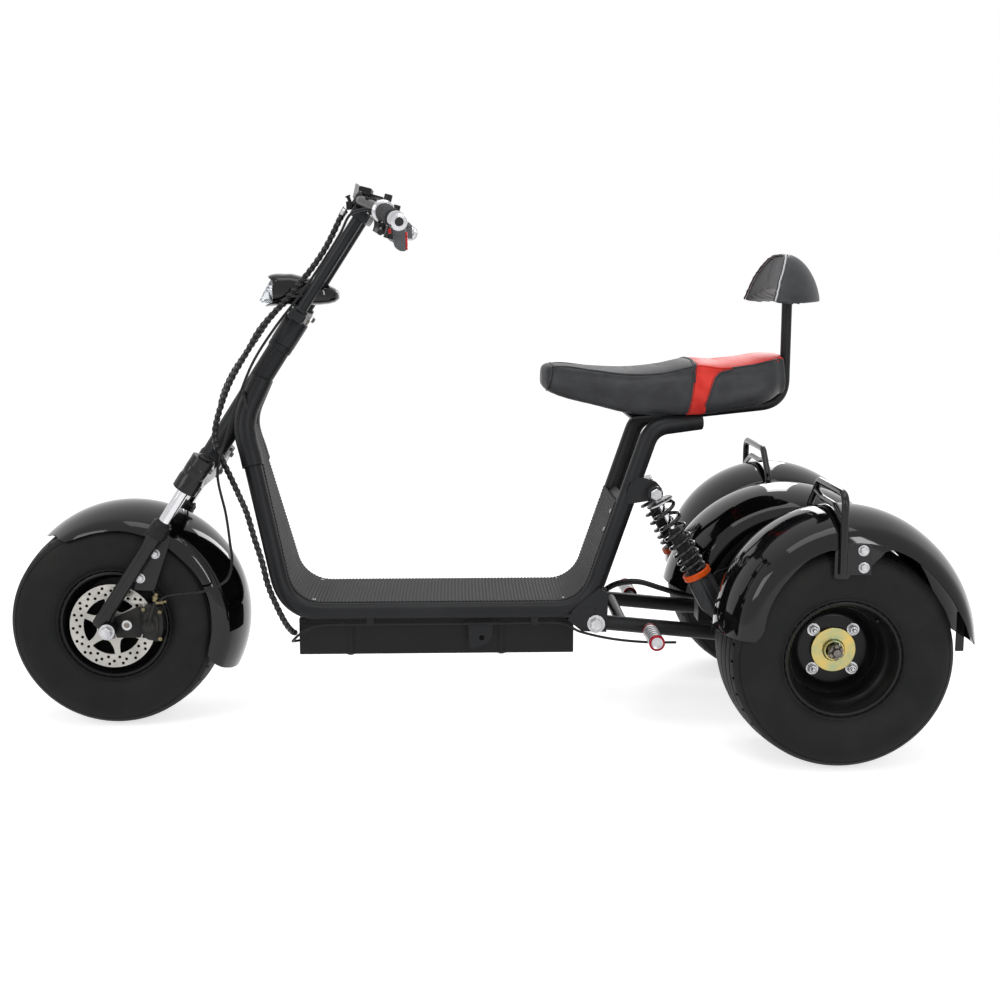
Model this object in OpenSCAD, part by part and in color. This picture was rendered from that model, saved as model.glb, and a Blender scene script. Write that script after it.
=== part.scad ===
// Three-wheeled electric scooter with fat tyres, in millimetres.
// Front is -X, left is -Y, up is +Z, and the tyres stand on Z = 0.

/* [Overall] */
// Distance between the front axle and the rear axle
wheelbase = 1476; // [1450:2:1500]
// Distance between the middles of the two rear tyres
track = 640; // [630:2:660]

/* [Wheels] */
// Outside diameter of each tyre
tyre_d = 450; // [442:2:456]
// Width of each tyre
tyre_w = 222; // [214:2:226]
// Outside diameter of the rim's barrel, on which the tyre sits
rim_d = 220; // [212:2:224]
// Width of the rim between the tyre's beads
rim_w = 177; // [170:1:180]
// Thickness of the rim's pressed steel
rim_wall = 4; // [3:0.5:5]
// Distance of the rear wheel's disc from the middle of its rim, outwards
rear_dish = 12; // [4:1:20]
// Diameter of the front brake disc
disc_d = 180; // [172:2:184]

/* [Steering] */
// Angle of the steering axis from upright
rake = 33.2; // [32:0.2:34.4]
// Distance of the front axle behind the steering axis
fork_offset = 22; // [18:1:26]
// Distance along the steering axis from the front axle up to the top of the stem head
fork_len = 751; // [740:1:765]
// Diameter of the fork's lower legs
leg_d = 36; // [33:1:38]
// Diameter of the fork's chromed stanchions
stanchion_d = 25; // [22:1:28]
// Outside diameter of the head tube
head_d = 48; // [46:1:52]
// Diameter of the handlebar
bar_d = 22; // [20:1:24]

/* [Frame] */
// Diameter of the two side tubes
tube_d = 38; // [34:1:40]
// Distance of each side tube from the middle, along the deck
tube_y = 114; // [110:1:118]
// Height of the deck tubes' middle above the axles
deck_rise = 30; // [26:1:36]
// Thickness of the floor mat
mat_t = 4; // [3:0.5:6]
// Height of the battery box
battery_h = 80; // [70:1:90]
// Diameter of the side stand's pivot hole
stand_bore_d = 11; // [8:0.5:14]
// Diameter of the swing arm's tubes
arm_d = 32; // [28:1:34]
// Diameter of the rear axle tube
axle_tube_d = 50; // [46:1:54]

/* [Suspension] */
// Outside diameter of the shock springs
spring_d = 55; // [50:1:56]
// Diameter of the spring wire
spring_wire = 8; // [6:0.5:8.5]
// Number of turns of each spring
spring_turns = 6; // [5:1:7]

/* [Bodywork] */
// Thickness of the fenders
fender_t = 2.5; // [2:0.25:3]
// Gap from the tyre's crown radius to the front fender's
front_fender_gap = 27; // [25:1:33]
// Gap from the tyre's crown radius to the side rear fenders'
side_fender_gap = 22; // [20:1:27]
// Gap from the tyre's crown radius to the centre rear fender's
centre_fender_gap = 45; // [39:1:51]
// Depth of a fender's sides below its crown
skirt = 72; // [66:1:76]
// Diameter of the grab hoops' rod
hoop_d = 11; // [9:0.5:12]
// Diameter of the backrest post
post_d = 22; // [20:1:24]

/* [Hidden] */
$fn = 64;
// Clearance between pieces that touch
fit = 0.3;
// Overlap that makes a cut go right through
eps = 1;

// Places of the axles, with the whole scooter's box centred on the origin
tyre_r = tyre_d / 2;
front_x = -wheelbase / 2 - 16;
rear_x = wheelbase / 2 - 16;

// A point given from the front axle, from the rear axle, and from the steering axis
steer_x = fork_len * sin(rake) - fork_offset * cos(rake);
steer_z = fork_len * cos(rake) + fork_offset * sin(rake);
function at_front(p) = [front_x + p.x, p.y, tyre_r + p.z];
function at_rear(p) = [rear_x + p.x, p.y, tyre_r + p.z];
function at_steer(p) = [
    front_x + steer_x + p.x * cos(rake) + p.z * sin(rake),
    p.y,
    tyre_r + steer_z - p.x * sin(rake) + p.z * cos(rake)
];
function unit(v) = v / norm(v);
function mirrored(points) = [for (p = points) [p.x, -p.y, p.z]];

// Stations along the steering axis, below the top of the stem head. The crown stands at a
// fixed height over the axle, and the head tube fills what is left of the fork's length
crown_rise = 390;
head_top = -61;
head_bottom = crown_rise - fork_len;
crown_top = head_bottom - fit;
clamp_top = head_bottom + 27;
clamp_bottom = head_bottom - 50;
seal_top = head_bottom - 138;
seal_bottom = head_bottom - 163;
function head_at(share) = head_bottom + share * (head_top - head_bottom);

// Fender radii, and half widths that follow from the tyre
front_fender_r = tyre_r + front_fender_gap;
side_fender_r = tyre_r + side_fender_gap;
centre_fender_r = tyre_r + centre_fender_gap;
fender_w = tyre_w / 2 + 8;
fender_crown = 200;
fender_shoulder = 40;
tongue = 101;
leg_y = fender_w + 2 + leg_d / 2;
rim_r = rim_d / 2;

// Deck and seat
tube_r = tube_d / 2;
deck_z = deck_rise;
mat_gap = 0.6;
mat_half = tube_y;
deck_bend = 95;
seat_pitch = 6;
upright_top = [-337, 420];
seat_run = 106;
seat_line = [cos(seat_pitch), sin(seat_pitch)];
seat_tube_y = 90;
base_t = 5;
pad_z = 674;

// Side tube's corners, from the neck to the seat
front_low = at_front([370, -tube_y, deck_z]);
neck_low = at_steer([68, -44, head_at(0.237)]);
neck_end = neck_low + 28 * (front_low - neck_low) / norm(front_low - neck_low);
neck_points = [
    at_steer([3, -8, head_at(0.713)]), at_steer([17, -28, head_at(0.383)]), neck_low, neck_end
];
tube_points = [
    neck_end,
    front_low,
    at_rear([-470, -tube_y, deck_z]),
    at_rear([upright_top.x, -tube_y, upright_top.y]),
    at_rear([upright_top.x + seat_run * seat_line.x, -seat_tube_y,
        upright_top.y + seat_run * seat_line.y])
];
tube_bends = [0, deck_bend, deck_bend, 50, 0];

// Swing arm, from its pivot to under the axle tube
pivot = at_rear([-452, 0, 5]);
arm_y = tube_y + 4;
arm_end = at_rear([20, 0, -(axle_tube_d + arm_d) / 2 - 2]);
arm_slope = (arm_end.z - pivot.z) / (arm_end.x - pivot.x);

// Shocks, from the bracket on the upright to the swing arm
eye_w = 26;
shock_boss = arm_d / 2 + 1;
shock_y = arm_y + shock_boss + fit + eye_w / 2;
shock_top = at_rear([-333, 0, 286]);
shock_foot = [rear_x - 194, 0, pivot.z + arm_slope * (rear_x - 194 - pivot.x) + 8];
shock_plate_y = shock_y - eye_w / 2 - fit - 4;
shock_len = norm(shock_foot - shock_top);
shock_tilt = atan2(shock_foot.x - shock_top.x, shock_top.z - shock_foot.z);

// Ends of the battery box, and a place between them
battery_from = front_x + 392;
battery_to = pivot.x - 44;
function along_battery(share) = battery_from + share * (battery_to - battery_from);

// Pivot hole of the side stand's bracket
stand = [along_battery(0.6633), 0, tyre_r - 29];

// Fender centres, from their axle
front_fender_c = [24, 3];
side_fender_c = [12, 43];
centre_fender_c = [-24, 15];

// Rear hoop and stay places
stay_y = track / 2 - fender_w;
hoop_x = -18;

// Route of the wiring from the headlamp down the neck to the battery box
harness_route = concat(
    [for (p = [
    [-35, -30, 250], [-34, -36, 238], [-31, -44, 217], [-27, -50, 186],
    [-25, -52, 147], [-28, -54, 97], [-37, -62, 26], [-49, -66, -48],
    [-48, -64, head_at(0.87)], [-45, -66, head_at(0.623)], [-34, -70, head_at(0.43)],
    [-18, -74, head_at(0.267)], [2, -78, head_at(0.177)], [33, -84, head_at(0.107)],
    [64, -92, head_at(0.047)]
    ]) at_steer(p)],
    [for (p = [
    [274, -104, 280], [292, -122, 245], [308, -136, 195], [324, -144, 145],
    [336, -148, 95], [352, -144, 50], [368, -132, 10], [379, -106, -15],
    [383, -90, -21]
    ]) at_front(p)]
);

// Route of the front brake hose from the lever past the neck to the caliper
hose_route = concat(
    [for (p = [
    [29, -195, 281], [9, -192, 270], [-9, -168, 246], [-9, -124, 203],
    [-11, -96, 136], [-15, -88, 55], [-23, -90, -31], [-23, -94, head_at(0.813)],
    [-7, -100, head_at(0.53)], [22, -110, head_at(0.273)], [60, -124, head_at(0.04)]
    ]) at_steer(p)],
    [for (p = [
    [251, -136, 245], [259, -146, 190], [263, -152, 145], [249, -156, 107],
    [202, -154, 85], [154, -148, 79], [120, -140, 71], [104, -130, 57]
    ]) at_front(p)]
);

// Route of the two brake hoses from the frame to the rear brake, and of the line under the deck
rear_hose_route = [for (p = [
    [-491, -40, -5], [-472, -40, 7], [-438, -41, 41], [-400, -42, 67],
    [-352, -44, 73], [-302, -46, 59], [-255, -48, 45], [-208, -50, 41.2]
]) at_rear(p)];
rear_line_route = concat(
    [for (p = [
    [388, -50, -49], [378, -74, -45], [380, -104, -35], [402, -122, -13],
    [438, -126, 3], [494, -126, 5]
    ]) at_front(p)],
    [for (p = [
    [-662, -126, 5], [-532, -126, 5], [-486, -142, -11], [-422, -148, -25], [-352, -148, -33],
    [-282, -146, -35]
    ]) at_rear(p)]
);

// Seat stations: x from the rear axle, half width, top above the axle, lift off the seat base
seat_stations = [
    [-566, 40, 536, 92],
    [-556, 66, 547, 79],
    [-520, 86, 545, 54],
    [-460, 104, 539, 31],
    [-380, 120, 538, 4],
    [-310, 128, 545, 0],
    [-250, 134, 558, 0],
    [-190, 138, 556, 0],
    [-130, 136, 560, 4],
    [-90, 126, 568, 18],
    [-66, 100, 568, 32],
    [-54, 60, 560, 48]
];
// Height above the axle of the seat base's top, at a distance x from the rear axle
function seat_floor(x) =
    upright_top.y + (tube_r + fit + base_t) / cos(seat_pitch)
    + (x - upright_top.x) * tan(seat_pitch) + fit;

// Backrest stations: y, height of the top, and how far the back bulges
pad_half = 150;
pad_stations = [-1, -0.97, -0.88, -0.7, -0.45, -0.15, 0.15, 0.45, 0.7, 0.88, 0.97, 1];

// Straight round bar between two points
module rod(a, b, r) {
    d = b - a;
    translate(a)
        rotate([0, acos(d.z / norm(d)), atan2(d.y, d.x)])
            cylinder(r = r, h = norm(d));
}

// Length of the straight that a bend of radius bend takes from each side of corner p
function bend_cut(a, p, b, bend) =
    bend * tan(acos(min(1, max(-1, unit(p - a) * unit(b - p)))) / 2);

// Round bar through corner points, with a bend radius at each inner corner
module pipe(points, bends, r) {
    last = len(points) - 1;
    cuts = [for (i = [0:last])
        i == 0 || i == last ? 0 : bend_cut(points[i - 1], points[i], points[i + 1], bends[i])];
    for (i = [0:last - 1]) {
        along = unit(points[i + 1] - points[i]);
        rod(points[i] + along * cuts[i], points[i + 1] - along * cuts[i + 1], r);
    }
    for (i = [1:last - 1]) {
        d1 = unit(points[i] - points[i - 1]);
        d2 = unit(points[i + 1] - points[i]);
        turn = acos(d1 * d2);
        n = unit(d2 - d1 * (d1 * d2));
        b = cross(d1, n);
        c = points[i] - d1 * cuts[i] + n * bends[i];
        multmatrix([
            [-n.x, d1.x, b.x, c.x],
            [-n.y, d1.y, b.y, c.y],
            [-n.z, d1.z, b.z, c.z],
            [0, 0, 0, 1]
        ])
            rotate_extrude(angle = turn) translate([bends[i], 0]) circle(r);
    }
}

// Points of a smooth curve through the route's points
function spline_point(p, i, t) =
    let (
        a = p[max(i - 1, 0)], b = p[i], c = p[i + 1], d = p[min(i + 2, len(p) - 1)],
        m0 = (c - a) / 2, m1 = (d - b) / 2,
        t2 = t * t, t3 = t2 * t
    )
    (2 * t3 - 3 * t2 + 1) * b + (t3 - 2 * t2 + t) * m0 + (3 * t2 - 2 * t3) * c + (t3 - t2) * m1;
function spline(p, steps) = concat(
    [for (i = [0:len(p) - 2], k = [0:steps - 1]) spline_point(p, i, k / steps)],
    [p[len(p) - 1]]
);

// Points of a path whose corners are rounded, each bend in the given number of steps
function rounded(points, bends, steps) = let (last = len(points) - 1) [
    points[0],
    for (i = [1:last - 1])
        let (
            d1 = unit(points[i] - points[i - 1]),
            d2 = unit(points[i + 1] - points[i]),
            turn = acos(d1 * d2),
            n = unit(d2 - d1 * (d1 * d2)),
            c = points[i] - d1 * bend_cut(points[i - 1], points[i], points[i + 1], bends[i])
                + n * bends[i]
        )
        for (k = [0:steps])
            c + bends[i] * (d1 * sin(turn * k / steps) - n * cos(turn * k / steps)),
    points[last]
];

// Tube swept through a list of points, with its sides counted across the direction across
module sweep(path, r, sides, across = [0, 1, 0]) {
    last = len(path) - 1;
    tangents = [for (i = [0:last]) unit(
        (i < last ? unit(path[i + 1] - path[i]) : [0, 0, 0])
        + (i > 0 ? unit(path[i] - path[i - 1]) : [0, 0, 0])
    )];
    rings = [for (i = [0:last])
        let (
            side = unit(cross(tangents[i], across)),
            up = cross(side, tangents[i])
        )
        [for (k = [0:sides - 1])
            path[i] + r * (side * cos(360 * k / sides) + up * sin(360 * k / sides))]];
    skin(rings);
}

// Closed solid through a list of rings that have the same number of points
module skin(rings) {
    n = len(rings[0]);
    last = len(rings) - 1;
    points = [for (ring = rings, p = ring) p];
    sides = [for (i = [0:last - 1], k = [0:n - 1], half = [0, 1])
        half == 0
            ? [i * n + k, i * n + (k + 1) % n, (i + 1) * n + (k + 1) % n]
            : [i * n + k, (i + 1) * n + (k + 1) % n, (i + 1) * n + k]];
    polyhedron(
        points,
        concat([[for (k = [n - 1:-1:0]) k]], sides, [[for (k = [0:n - 1]) last * n + k]]),
        convexity = 6
    );
}

// Radius at which a domed band's shoulder arcs are centred
function shoulder(r, w, a, b) = r - a + sqrt(pow(a - b, 2) - pow(w - b, 2));

// Section of a domed band: crown arc a, shoulder arcs b, straight sides down to low
module domed(r, w, a, b, low) {
    c = shoulder(r, w, a, b);
    reach = 1.4 * a / (a - b);
    intersection() {
        translate([low, -w]) square([r - low + eps, 2 * w]);
        union() {
            intersection() {
                translate([r - a, 0]) circle(a, $fn = 180);
                polygon([
                    [r - a, 0],
                    [r - a + reach * (c - r + a), -reach * (w - b)],
                    [r - a + reach * (c - r + a), reach * (w - b)]
                ]);
            }
            for (s = [-1, 1])
                translate([c, s * (w - b)]) circle(b);
            translate([low, -w]) square([c - low, 2 * w]);
        }
    }
}

// Part of a turned shape about the Y axis, from angle start through sweep degrees
module turned_y(start, angle) {
    rotate([90, 0, 0]) rotate([0, 0, start]) rotate_extrude(angle = angle, $fn = 120) children();
}

// Thin domed fender about the Y axis, whose sides reach depth below the crown and end on a line
// of angles and depths
module fender(r, start, angle, line, depth = skirt) {
    difference() {
        turned_y(start, angle)
            difference() {
                domed(r, fender_w, fender_crown, fender_shoulder, r - depth);
                domed(r - fender_t, fender_w - fender_t, fender_crown - fender_t,
                    fender_shoulder - fender_t, r - depth - eps);
            }
        rotate([90, 0, 0])
            linear_extrude(3 * fender_w, center = true)
                polygon(concat([[0, 0]], [for (p = line) (r - p[1]) * [cos(p[0]), sin(p[0])]]));
    }
}

// Lower edges of the fenders' sides, from the rear round to the front: angle, depth below the crown
front_line = [
    [-32, -1], [-29, 6], [-25, 13], [-21.5, 19], [-19, 48], [-15, 62], [-9, 66], [3, 65],
    [20, 61], [35, 60], [47, 61], [75, 52], [89, 48], [97, 48], [109, 46], [116, 44], [122, 40],
    [125, 26], [127, 14], [131, 7], [134, 0], [135, -1]
];
rear_line = [
    [-1, -1], [0, 6], [2, 24], [7, 41], [17, 49], [34, 54], [55, 55], [72, 57],
    [104, 60], [119, 62], [138, 68], [161, 70], [172, skirt], [177, 66], [180, 54], [181, 54]
];
tongue_line = [
    [-1, -1], [0, 6], [2, 24], [7, 41], [17, 49], [34, 54], [55, 55], [71, 57], [74, 70],
    [78, tongue - 9], [83, tongue - 1], [96, tongue - 1], [100, tongue - 13], [103, 63],
    [119, 62], [138, 68], [161, 70], [172, skirt], [177, 66], [180, 54], [181, 54]
];

// Section of the tyre, with x as the radius and y across the tread, and its beads in the rim
module tyre_section() {
    half = tyre_w / 2;
    bead = rim_w / 2 - 0.1;
    crown_a = 400;
    shoulder_b = 0.452 * (tyre_r - rim_r);
    wall_b = 0.652 * (tyre_r - rim_r);
    c = shoulder(tyre_r, half, crown_a, shoulder_b);
    domed(tyre_r, half, crown_a, shoulder_b, c - 1);
    difference() {
        intersection() {
            translate([rim_r + fit, -half]) square([c - rim_r - fit, tyre_w]);
            union() {
                for (s = [-1, 1])
                    translate([c, s * (half - wall_b)]) circle(wall_b, $fn = 96);
                translate([rim_r, wall_b - half]) square([c - rim_r, 2 * (half - wall_b)]);
            }
        }
        for (s = [-1, 1])
            translate([rim_r, s > 0 ? bead : -bead - tyre_w])
                square([rim_lip + fit, tyre_w]);
    }
}

// Tyre standing on its axle
module tyre() {
    color([0.06, 0.06, 0.06]) turned_y(0, 360) tyre_section();
}

// Barrel of a rim, from its rolled lip over the bead seat down to the drop centre
rim_lip = 4;
drop = 14;
drop_r = rim_r - drop - rim_wall;
module rim_barrel() {
    h = rim_w / 2;
    inner = [
        [rim_r + rim_lip, h + 2], [rim_r + rim_lip / 2, h + 5], [rim_r - 2, h + 5],
        [rim_r - rim_wall, h + 1], [rim_r - rim_wall, h - 24], [drop_r, h - 41]
    ];
    outer = [[rim_r - drop, h - 43], [rim_r, h - 28], [rim_r, h], [rim_r + rim_lip, h]];
    count = len(inner);
    turned_y(0, 360)
        polygon(concat(
            inner,
            [for (i = [1:count]) [inner[count - i].x, -inner[count - i].y]],
            [for (i = [1:4]) [outer[4 - i].x, -outer[4 - i].y]],
            outer
        ));
}

// Disc of a wheel, dished outwards towards +Y, with a bore for its hub
module rear_rim() {
    disc_t = 8;
    color([0.05, 0.05, 0.05]) {
        rim_barrel();
        difference() {
            rotate([90, 0, 0]) translate([0, 0, -rear_dish])
                cylinder(r = drop_r + 2, h = disc_t);
            rotate([90, 0, 0]) translate([0, 0, -rear_dish - eps])
                cylinder(r = 24, h = disc_t + 2 * eps);
        }
    }
}

// Zinc plated flange, nut and half shaft of a rear wheel, outwards towards +Y
module rear_hub() {
    flange_t = 8;
    bolt_circle = 56;
    color([0.75, 0.66, 0.35]) {
        rotate([-90, 0, 0]) {
            translate([0, 0, rear_dish + fit]) cylinder(r = 44.5, h = flange_t);
            translate([0, 0, rear_dish + fit]) cylinder(r = 20, h = 16);
            translate([0, 0, rear_dish + 14]) cylinder(r = 15, h = 16, $fn = 6);
            translate([0, 0, -80]) cylinder(r = axle_tube_d / 2 - 6 - 0.5, h = rear_dish + 82);
            for (a = [45:90:315])
                rotate([0, 0, a]) translate([bolt_circle, 0, rear_dish + fit]) {
                    cylinder(r = 9, h = 4);
                    cylinder(r = 5, h = 14);
                }
        }
    }
}

// Frame of the vehicle
module head_tube() {
    head_wall = 6;
    color([0.07, 0.07, 0.07])
        difference() {
            union() {
                rod(at_steer([0, 0, head_bottom]), at_steer([0, 0, head_top]), head_d / 2);
                rod(at_steer([0, 0, head_bottom]), at_steer([0, 0, head_bottom + 18]),
                    head_d / 2 + 3);
                rod(at_steer([0, 0, head_top - 14]), at_steer([0, 0, head_top]), head_d / 2 + 2);
                for (points = [neck_points, mirrored(neck_points)])
                    sweep(rounded(points, [0, 120, 120, 0], 4), tube_r + 4, 24);
            }
            rod(at_steer([0, 0, head_bottom - eps]), at_steer([0, 0, head_top + eps]),
                head_d / 2 - head_wall);
        }
}

module side_tube(side) {
    sweep(rounded(side < 0 ? tube_points : mirrored(tube_points), tube_bends, 6), tube_r, 24);
}

// Room that a side tube takes, with its clearance
module tube_room(side) {
    pipe(side < 0 ? tube_points : mirrored(tube_points), tube_bends, tube_r + fit);
}

module frame_tube_left() {
    color([0.07, 0.07, 0.07]) side_tube(-1);
}

module frame_tube_right() {
    color([0.07, 0.07, 0.07]) side_tube(1);
}

// Whatever fits between the side tubes, cut clear of them
module between_tubes() {
    difference() {
        children();
        tube_room(-1);
        tube_room(1);
    }
}

// Places of the members under the deck, and of the short pegs inside the uprights
cross_x = [at_front([440, 0, 0]).x, at_front([640, 0, 0]).x, at_front([860, 0, 0]).x];
inner_peg = at_rear([-400, 0, 240]);
inner_peg_len = 60;

module cross_members() {
    color([0.07, 0.07, 0.07])
        between_tubes() {
            for (x = cross_x)
                translate([x - 15, -tube_y, tyre_r + deck_z - tube_r])
                    cube([30, 2 * tube_y, 22]);
            for (s = [-1, 1])
                rod(inner_peg + [0, s * tube_y, 0], inner_peg + [0, s * (tube_y - inner_peg_len), 0], 8);
        }
}

module frame_brackets() {
    color([0.08, 0.08, 0.08])
        between_tubes()
            for (s = [-1, 1]) {
                for (y = [arm_y - arm_d / 2 - 5, arm_y + arm_d / 2 + 1])
                    translate([0, s > 0 ? y : -y - 4, 0])
                        pivot_plate();
                translate([0, s > 0 ? shock_plate_y : -shock_plate_y - 4, 0]) shock_plate();
                translate([shock_top.x - 58, s > 0 ? tube_y : -shock_plate_y - 1, shock_top.z - 20])
                    cube([26, shock_plate_y + 1 - tube_y, 42]);
                translate([shock_top.x, s * (shock_plate_y + 2), shock_top.z])
                    rotate([s > 0 ? -90 : 90, 0, 0]) shock_stud();
                translate([pivot.x - 34, s * (tube_y + 16) - 11, pivot.z + 20])
                    cube([30, 22, 14]);
            }
    color([0.08, 0.08, 0.08])
        difference() {
            translate([0, -tube_y + 4, 0]) rotate([90, 0, 0]) linear_extrude(8)
                polygon([
                    [stand.x - 30, tyre_r + deck_z - 12], [stand.x + 24, tyre_r + deck_z - 12],
                    [stand.x + 23, stand.z + 4], [stand.x + 12, stand.z - 13],
                    [stand.x - 20, stand.z - 24], [stand.x - 27, stand.z - 18]
                ]);
            translate([stand.x, -tube_y - 5, stand.z])
                rotate([-90, 0, 0]) cylinder(r = stand_bore_d / 2, h = 10);
            tube_room(-1);
        }
}

// Bolt that carries a shock's eye, with its nut outside
module shock_stud() {
    cylinder(r = 5, h = eye_w + 10);
    translate([0, 0, eye_w + 2.6]) cylinder(r = 10, h = 8);
}

module pivot_plate() {
    p = pivot;
    difference() {
        translate([0, 4, 0]) rotate([90, 0, 0]) linear_extrude(4)
            polygon([
                [p.x - 60, p.z + 8], [p.x - 30, p.z - 16], [p.x + 22, p.z - 18],
                [p.x + 26, p.z + 66], [p.x + 6, p.z + 78], [p.x - 50, p.z + 30]
            ]);
        translate([p.x, -eps, p.z]) rotate([-90, 0, 0]) cylinder(r = 6.3, h = 6 + eps);
    }
}

module shock_plate() {
    p = shock_top;
    translate([0, 4, 0]) rotate([90, 0, 0]) linear_extrude(4)
        polygon([
            [p.x - 60, p.z - 26], [p.x - 20, p.z - 20], [p.x + 12, p.z - 16],
            [p.x + 16, p.z + 8], [p.x + 4, p.z + 22], [p.x - 20, p.z + 30],
            [p.x - 36, p.z + 32], [p.x - 54, p.z + 12]
        ]);
}

// Mat on the deck, with its raised front and rear
mat_front_rise = 400;
mat_rear_rise = 175;
mat_bend_steps = 8;

// Direction of a side tube's straight, seen from the side
function mat_dir(i) =
    let (run = tube_points[i + 1] - tube_points[i]) unit([run.x, run.z]);

// One face of the mat, seen from the side, at a distance from the middles of its two bends
function mat_side(r) =
    let (
        front = mat_dir(0),
        rear = mat_dir(2),
        front_turn = acos(front.x),
        rear_turn = acos(rear.x),
        z = tyre_r + deck_z + deck_bend,
        front_c = [tube_points[1].x + deck_bend * tan(front_turn / 2), z],
        rear_c = [tube_points[2].x - deck_bend * tan(rear_turn / 2), z],
        first = front_c + r * [cos(270 - front_turn), sin(270 - front_turn)],
        last = rear_c + r * [cos(270 + rear_turn), sin(270 + rear_turn)]
    )
    concat(
        [first - mat_front_rise * front],
        [for (i = [0:mat_bend_steps])
            let (a = 270 - front_turn * (1 - i / mat_bend_steps)) front_c + r * [cos(a), sin(a)]],
        [for (i = [0:mat_bend_steps])
            let (a = 270 + rear_turn * i / mat_bend_steps) rear_c + r * [cos(a), sin(a)]],
        [last + mat_rear_rise * rear]
    );

module floor_mat() {
    under = mat_side(deck_bend - tube_r - mat_gap);
    over = mat_side(deck_bend - tube_r - mat_gap - mat_t);
    count = len(over);
    color([0.1, 0.1, 0.1])
        difference() {
            rotate([90, 0, 0])
                linear_extrude(2 * mat_half, center = true)
                    polygon(concat(under, [for (i = [1:count]) over[count - i]]));
            mat_front_trim();
        }
}

// What is cut from the mat's front, seen from ahead: it narrows towards the top
module mat_front_trim() {
    top = tube_points[0];
    low = tube_points[1];
    half = 1 - top.y;
    reach = 160;
    spare = 20;
    z = low.z + 24;
    translate([low.x - 2 * reach, 0, 0]) rotate([90, 0, 90])
        linear_extrude(2 * reach + spare)
            difference() {
                translate([-mat_half - spare, z]) square([2 * (mat_half + spare), top.z]);
                polygon([
                    [-mat_half, z - spare], [mat_half, z - spare], [mat_half, z],
                    [half, top.z - 8], [half * 0.4, top.z + 6],
                    [-half * 0.4, top.z + 6], [-half, top.z - 8], [-mat_half, z]
                ]);
            }
}

module battery_box() {
    half = tube_y - tube_r - 1;
    top = tyre_r + deck_z - tube_r - fit;
    color([0.09, 0.09, 0.09])
        difference() {
            translate([battery_from, -half, top - battery_h])
                cube([battery_to - battery_from, 2 * half, battery_h]);
            for (x = battery_strap_x)
                translate([x - strap_w / 2, -half - eps, top - battery_h - eps])
                    strap_wrap(half, fit);
        }
}

battery_strap_x = [along_battery(0.185), along_battery(0.736)];
strap_w = 18;

// Groove that a strap lies in, round the sides and bottom of the battery box
module strap_wrap(half, extra) {
    depth = 2;
    w = strap_w + 2 * extra;
    translate([-extra, 0, 0]) {
        cube([w, eps + depth, battery_h + 2 * eps]);
        translate([0, 2 * half + eps - depth, 0]) cube([w, eps + depth, battery_h + 2 * eps]);
        cube([w, 2 * half + 2 * eps, eps + depth]);
    }
}

// Straps that stand proud of the battery box and lie sunk in its grooves
module battery_straps() {
    half = tube_y - tube_r - 1;
    top = tyre_r + deck_z - tube_r - fit;
    proud = 1.3;
    sunk = 1.7;
    color([0.05, 0.05, 0.05])
        for (x = battery_strap_x)
            difference() {
                translate([x - strap_w / 2, -half - proud, top - battery_h - proud])
                    cube([strap_w, 2 * (half + proud), battery_h + proud]);
                translate([x - strap_w / 2 - eps, -half + sunk, top - battery_h + sunk])
                    cube([strap_w + 2 * eps, 2 * (half - sunk), battery_h + eps]);
            }
}

module swing_arm() {
    color([0.07, 0.07, 0.07])
        difference() {
            union() {
                for (s = [-1, 1]) {
                    rod([pivot.x, s * arm_y, pivot.z], [arm_end.x, s * arm_y, arm_end.z], arm_d / 2);
                    translate([pivot.x, s * arm_y, pivot.z])
                        rotate([90, 0, 0]) cylinder(r = 17, h = arm_d - 1.4, center = true);
                    translate([shock_foot.x, s * arm_y, shock_foot.z])
                        rotate([s > 0 ? -90 : 90, 0, 0]) {
                            cylinder(r = 12, h = shock_boss);
                            translate([0, 0, shock_boss - 2]) shock_stud();
                        }
                    translate([rear_x - 32, s * arm_y - arm_d / 2 + 1.5, arm_end.z - arm_d / 2 - 2])
                        cube([64, arm_d - 3, tyre_r + arm_d / 2 + 8 - arm_end.z]);
                }
                translate([pivot.x + 58, 0, pivot.z + arm_slope * 58])
                    rotate([90, 0, 0]) cylinder(r = 12.5, h = 2 * arm_y, center = true);
            }
            translate([pivot.x, 0, pivot.z])
                rotate([90, 0, 0]) cylinder(r = 6.3, h = 3 * arm_y, center = true);
            translate([rear_x, 0, tyre_r])
                rotate([90, 0, 0]) cylinder(r = axle_tube_d / 2 + fit, h = 3 * arm_y, center = true);
        }
}

module rear_axle() {
    half = track / 2 - 26;
    bore = axle_tube_d / 2 - 6;
    shaft_room = 65;
    color([0.07, 0.07, 0.07])
        translate([rear_x, 0, tyre_r])
            difference() {
                rotate([90, 0, 0]) cylinder(r = axle_tube_d / 2, h = 2 * half, center = true);
                for (s = [-1, 1])
                    translate([0, s * half, 0])
                        rotate([90, 0, 0]) cylinder(r = bore, h = 2 * shaft_room, center = true);
            }
    color([0.25, 0.25, 0.26])
        for (s = [-1, 1])
            translate([pivot.x, s * arm_y, pivot.z]) rotate([90, 0, 0]) {
                cylinder(r = 6, h = arm_d + 16, center = true);
                for (e = [-1, 1])
                    translate([0, 0, e * (arm_d / 2 + 8.6)]) cylinder(r = 10, h = 7, center = true);
            }
}

// Middle, radius and width of the motor, ahead of the axle tube
motor_c = at_rear([-120, 0, 10]);
motor_r = 68;
motor_w = 170;

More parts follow.
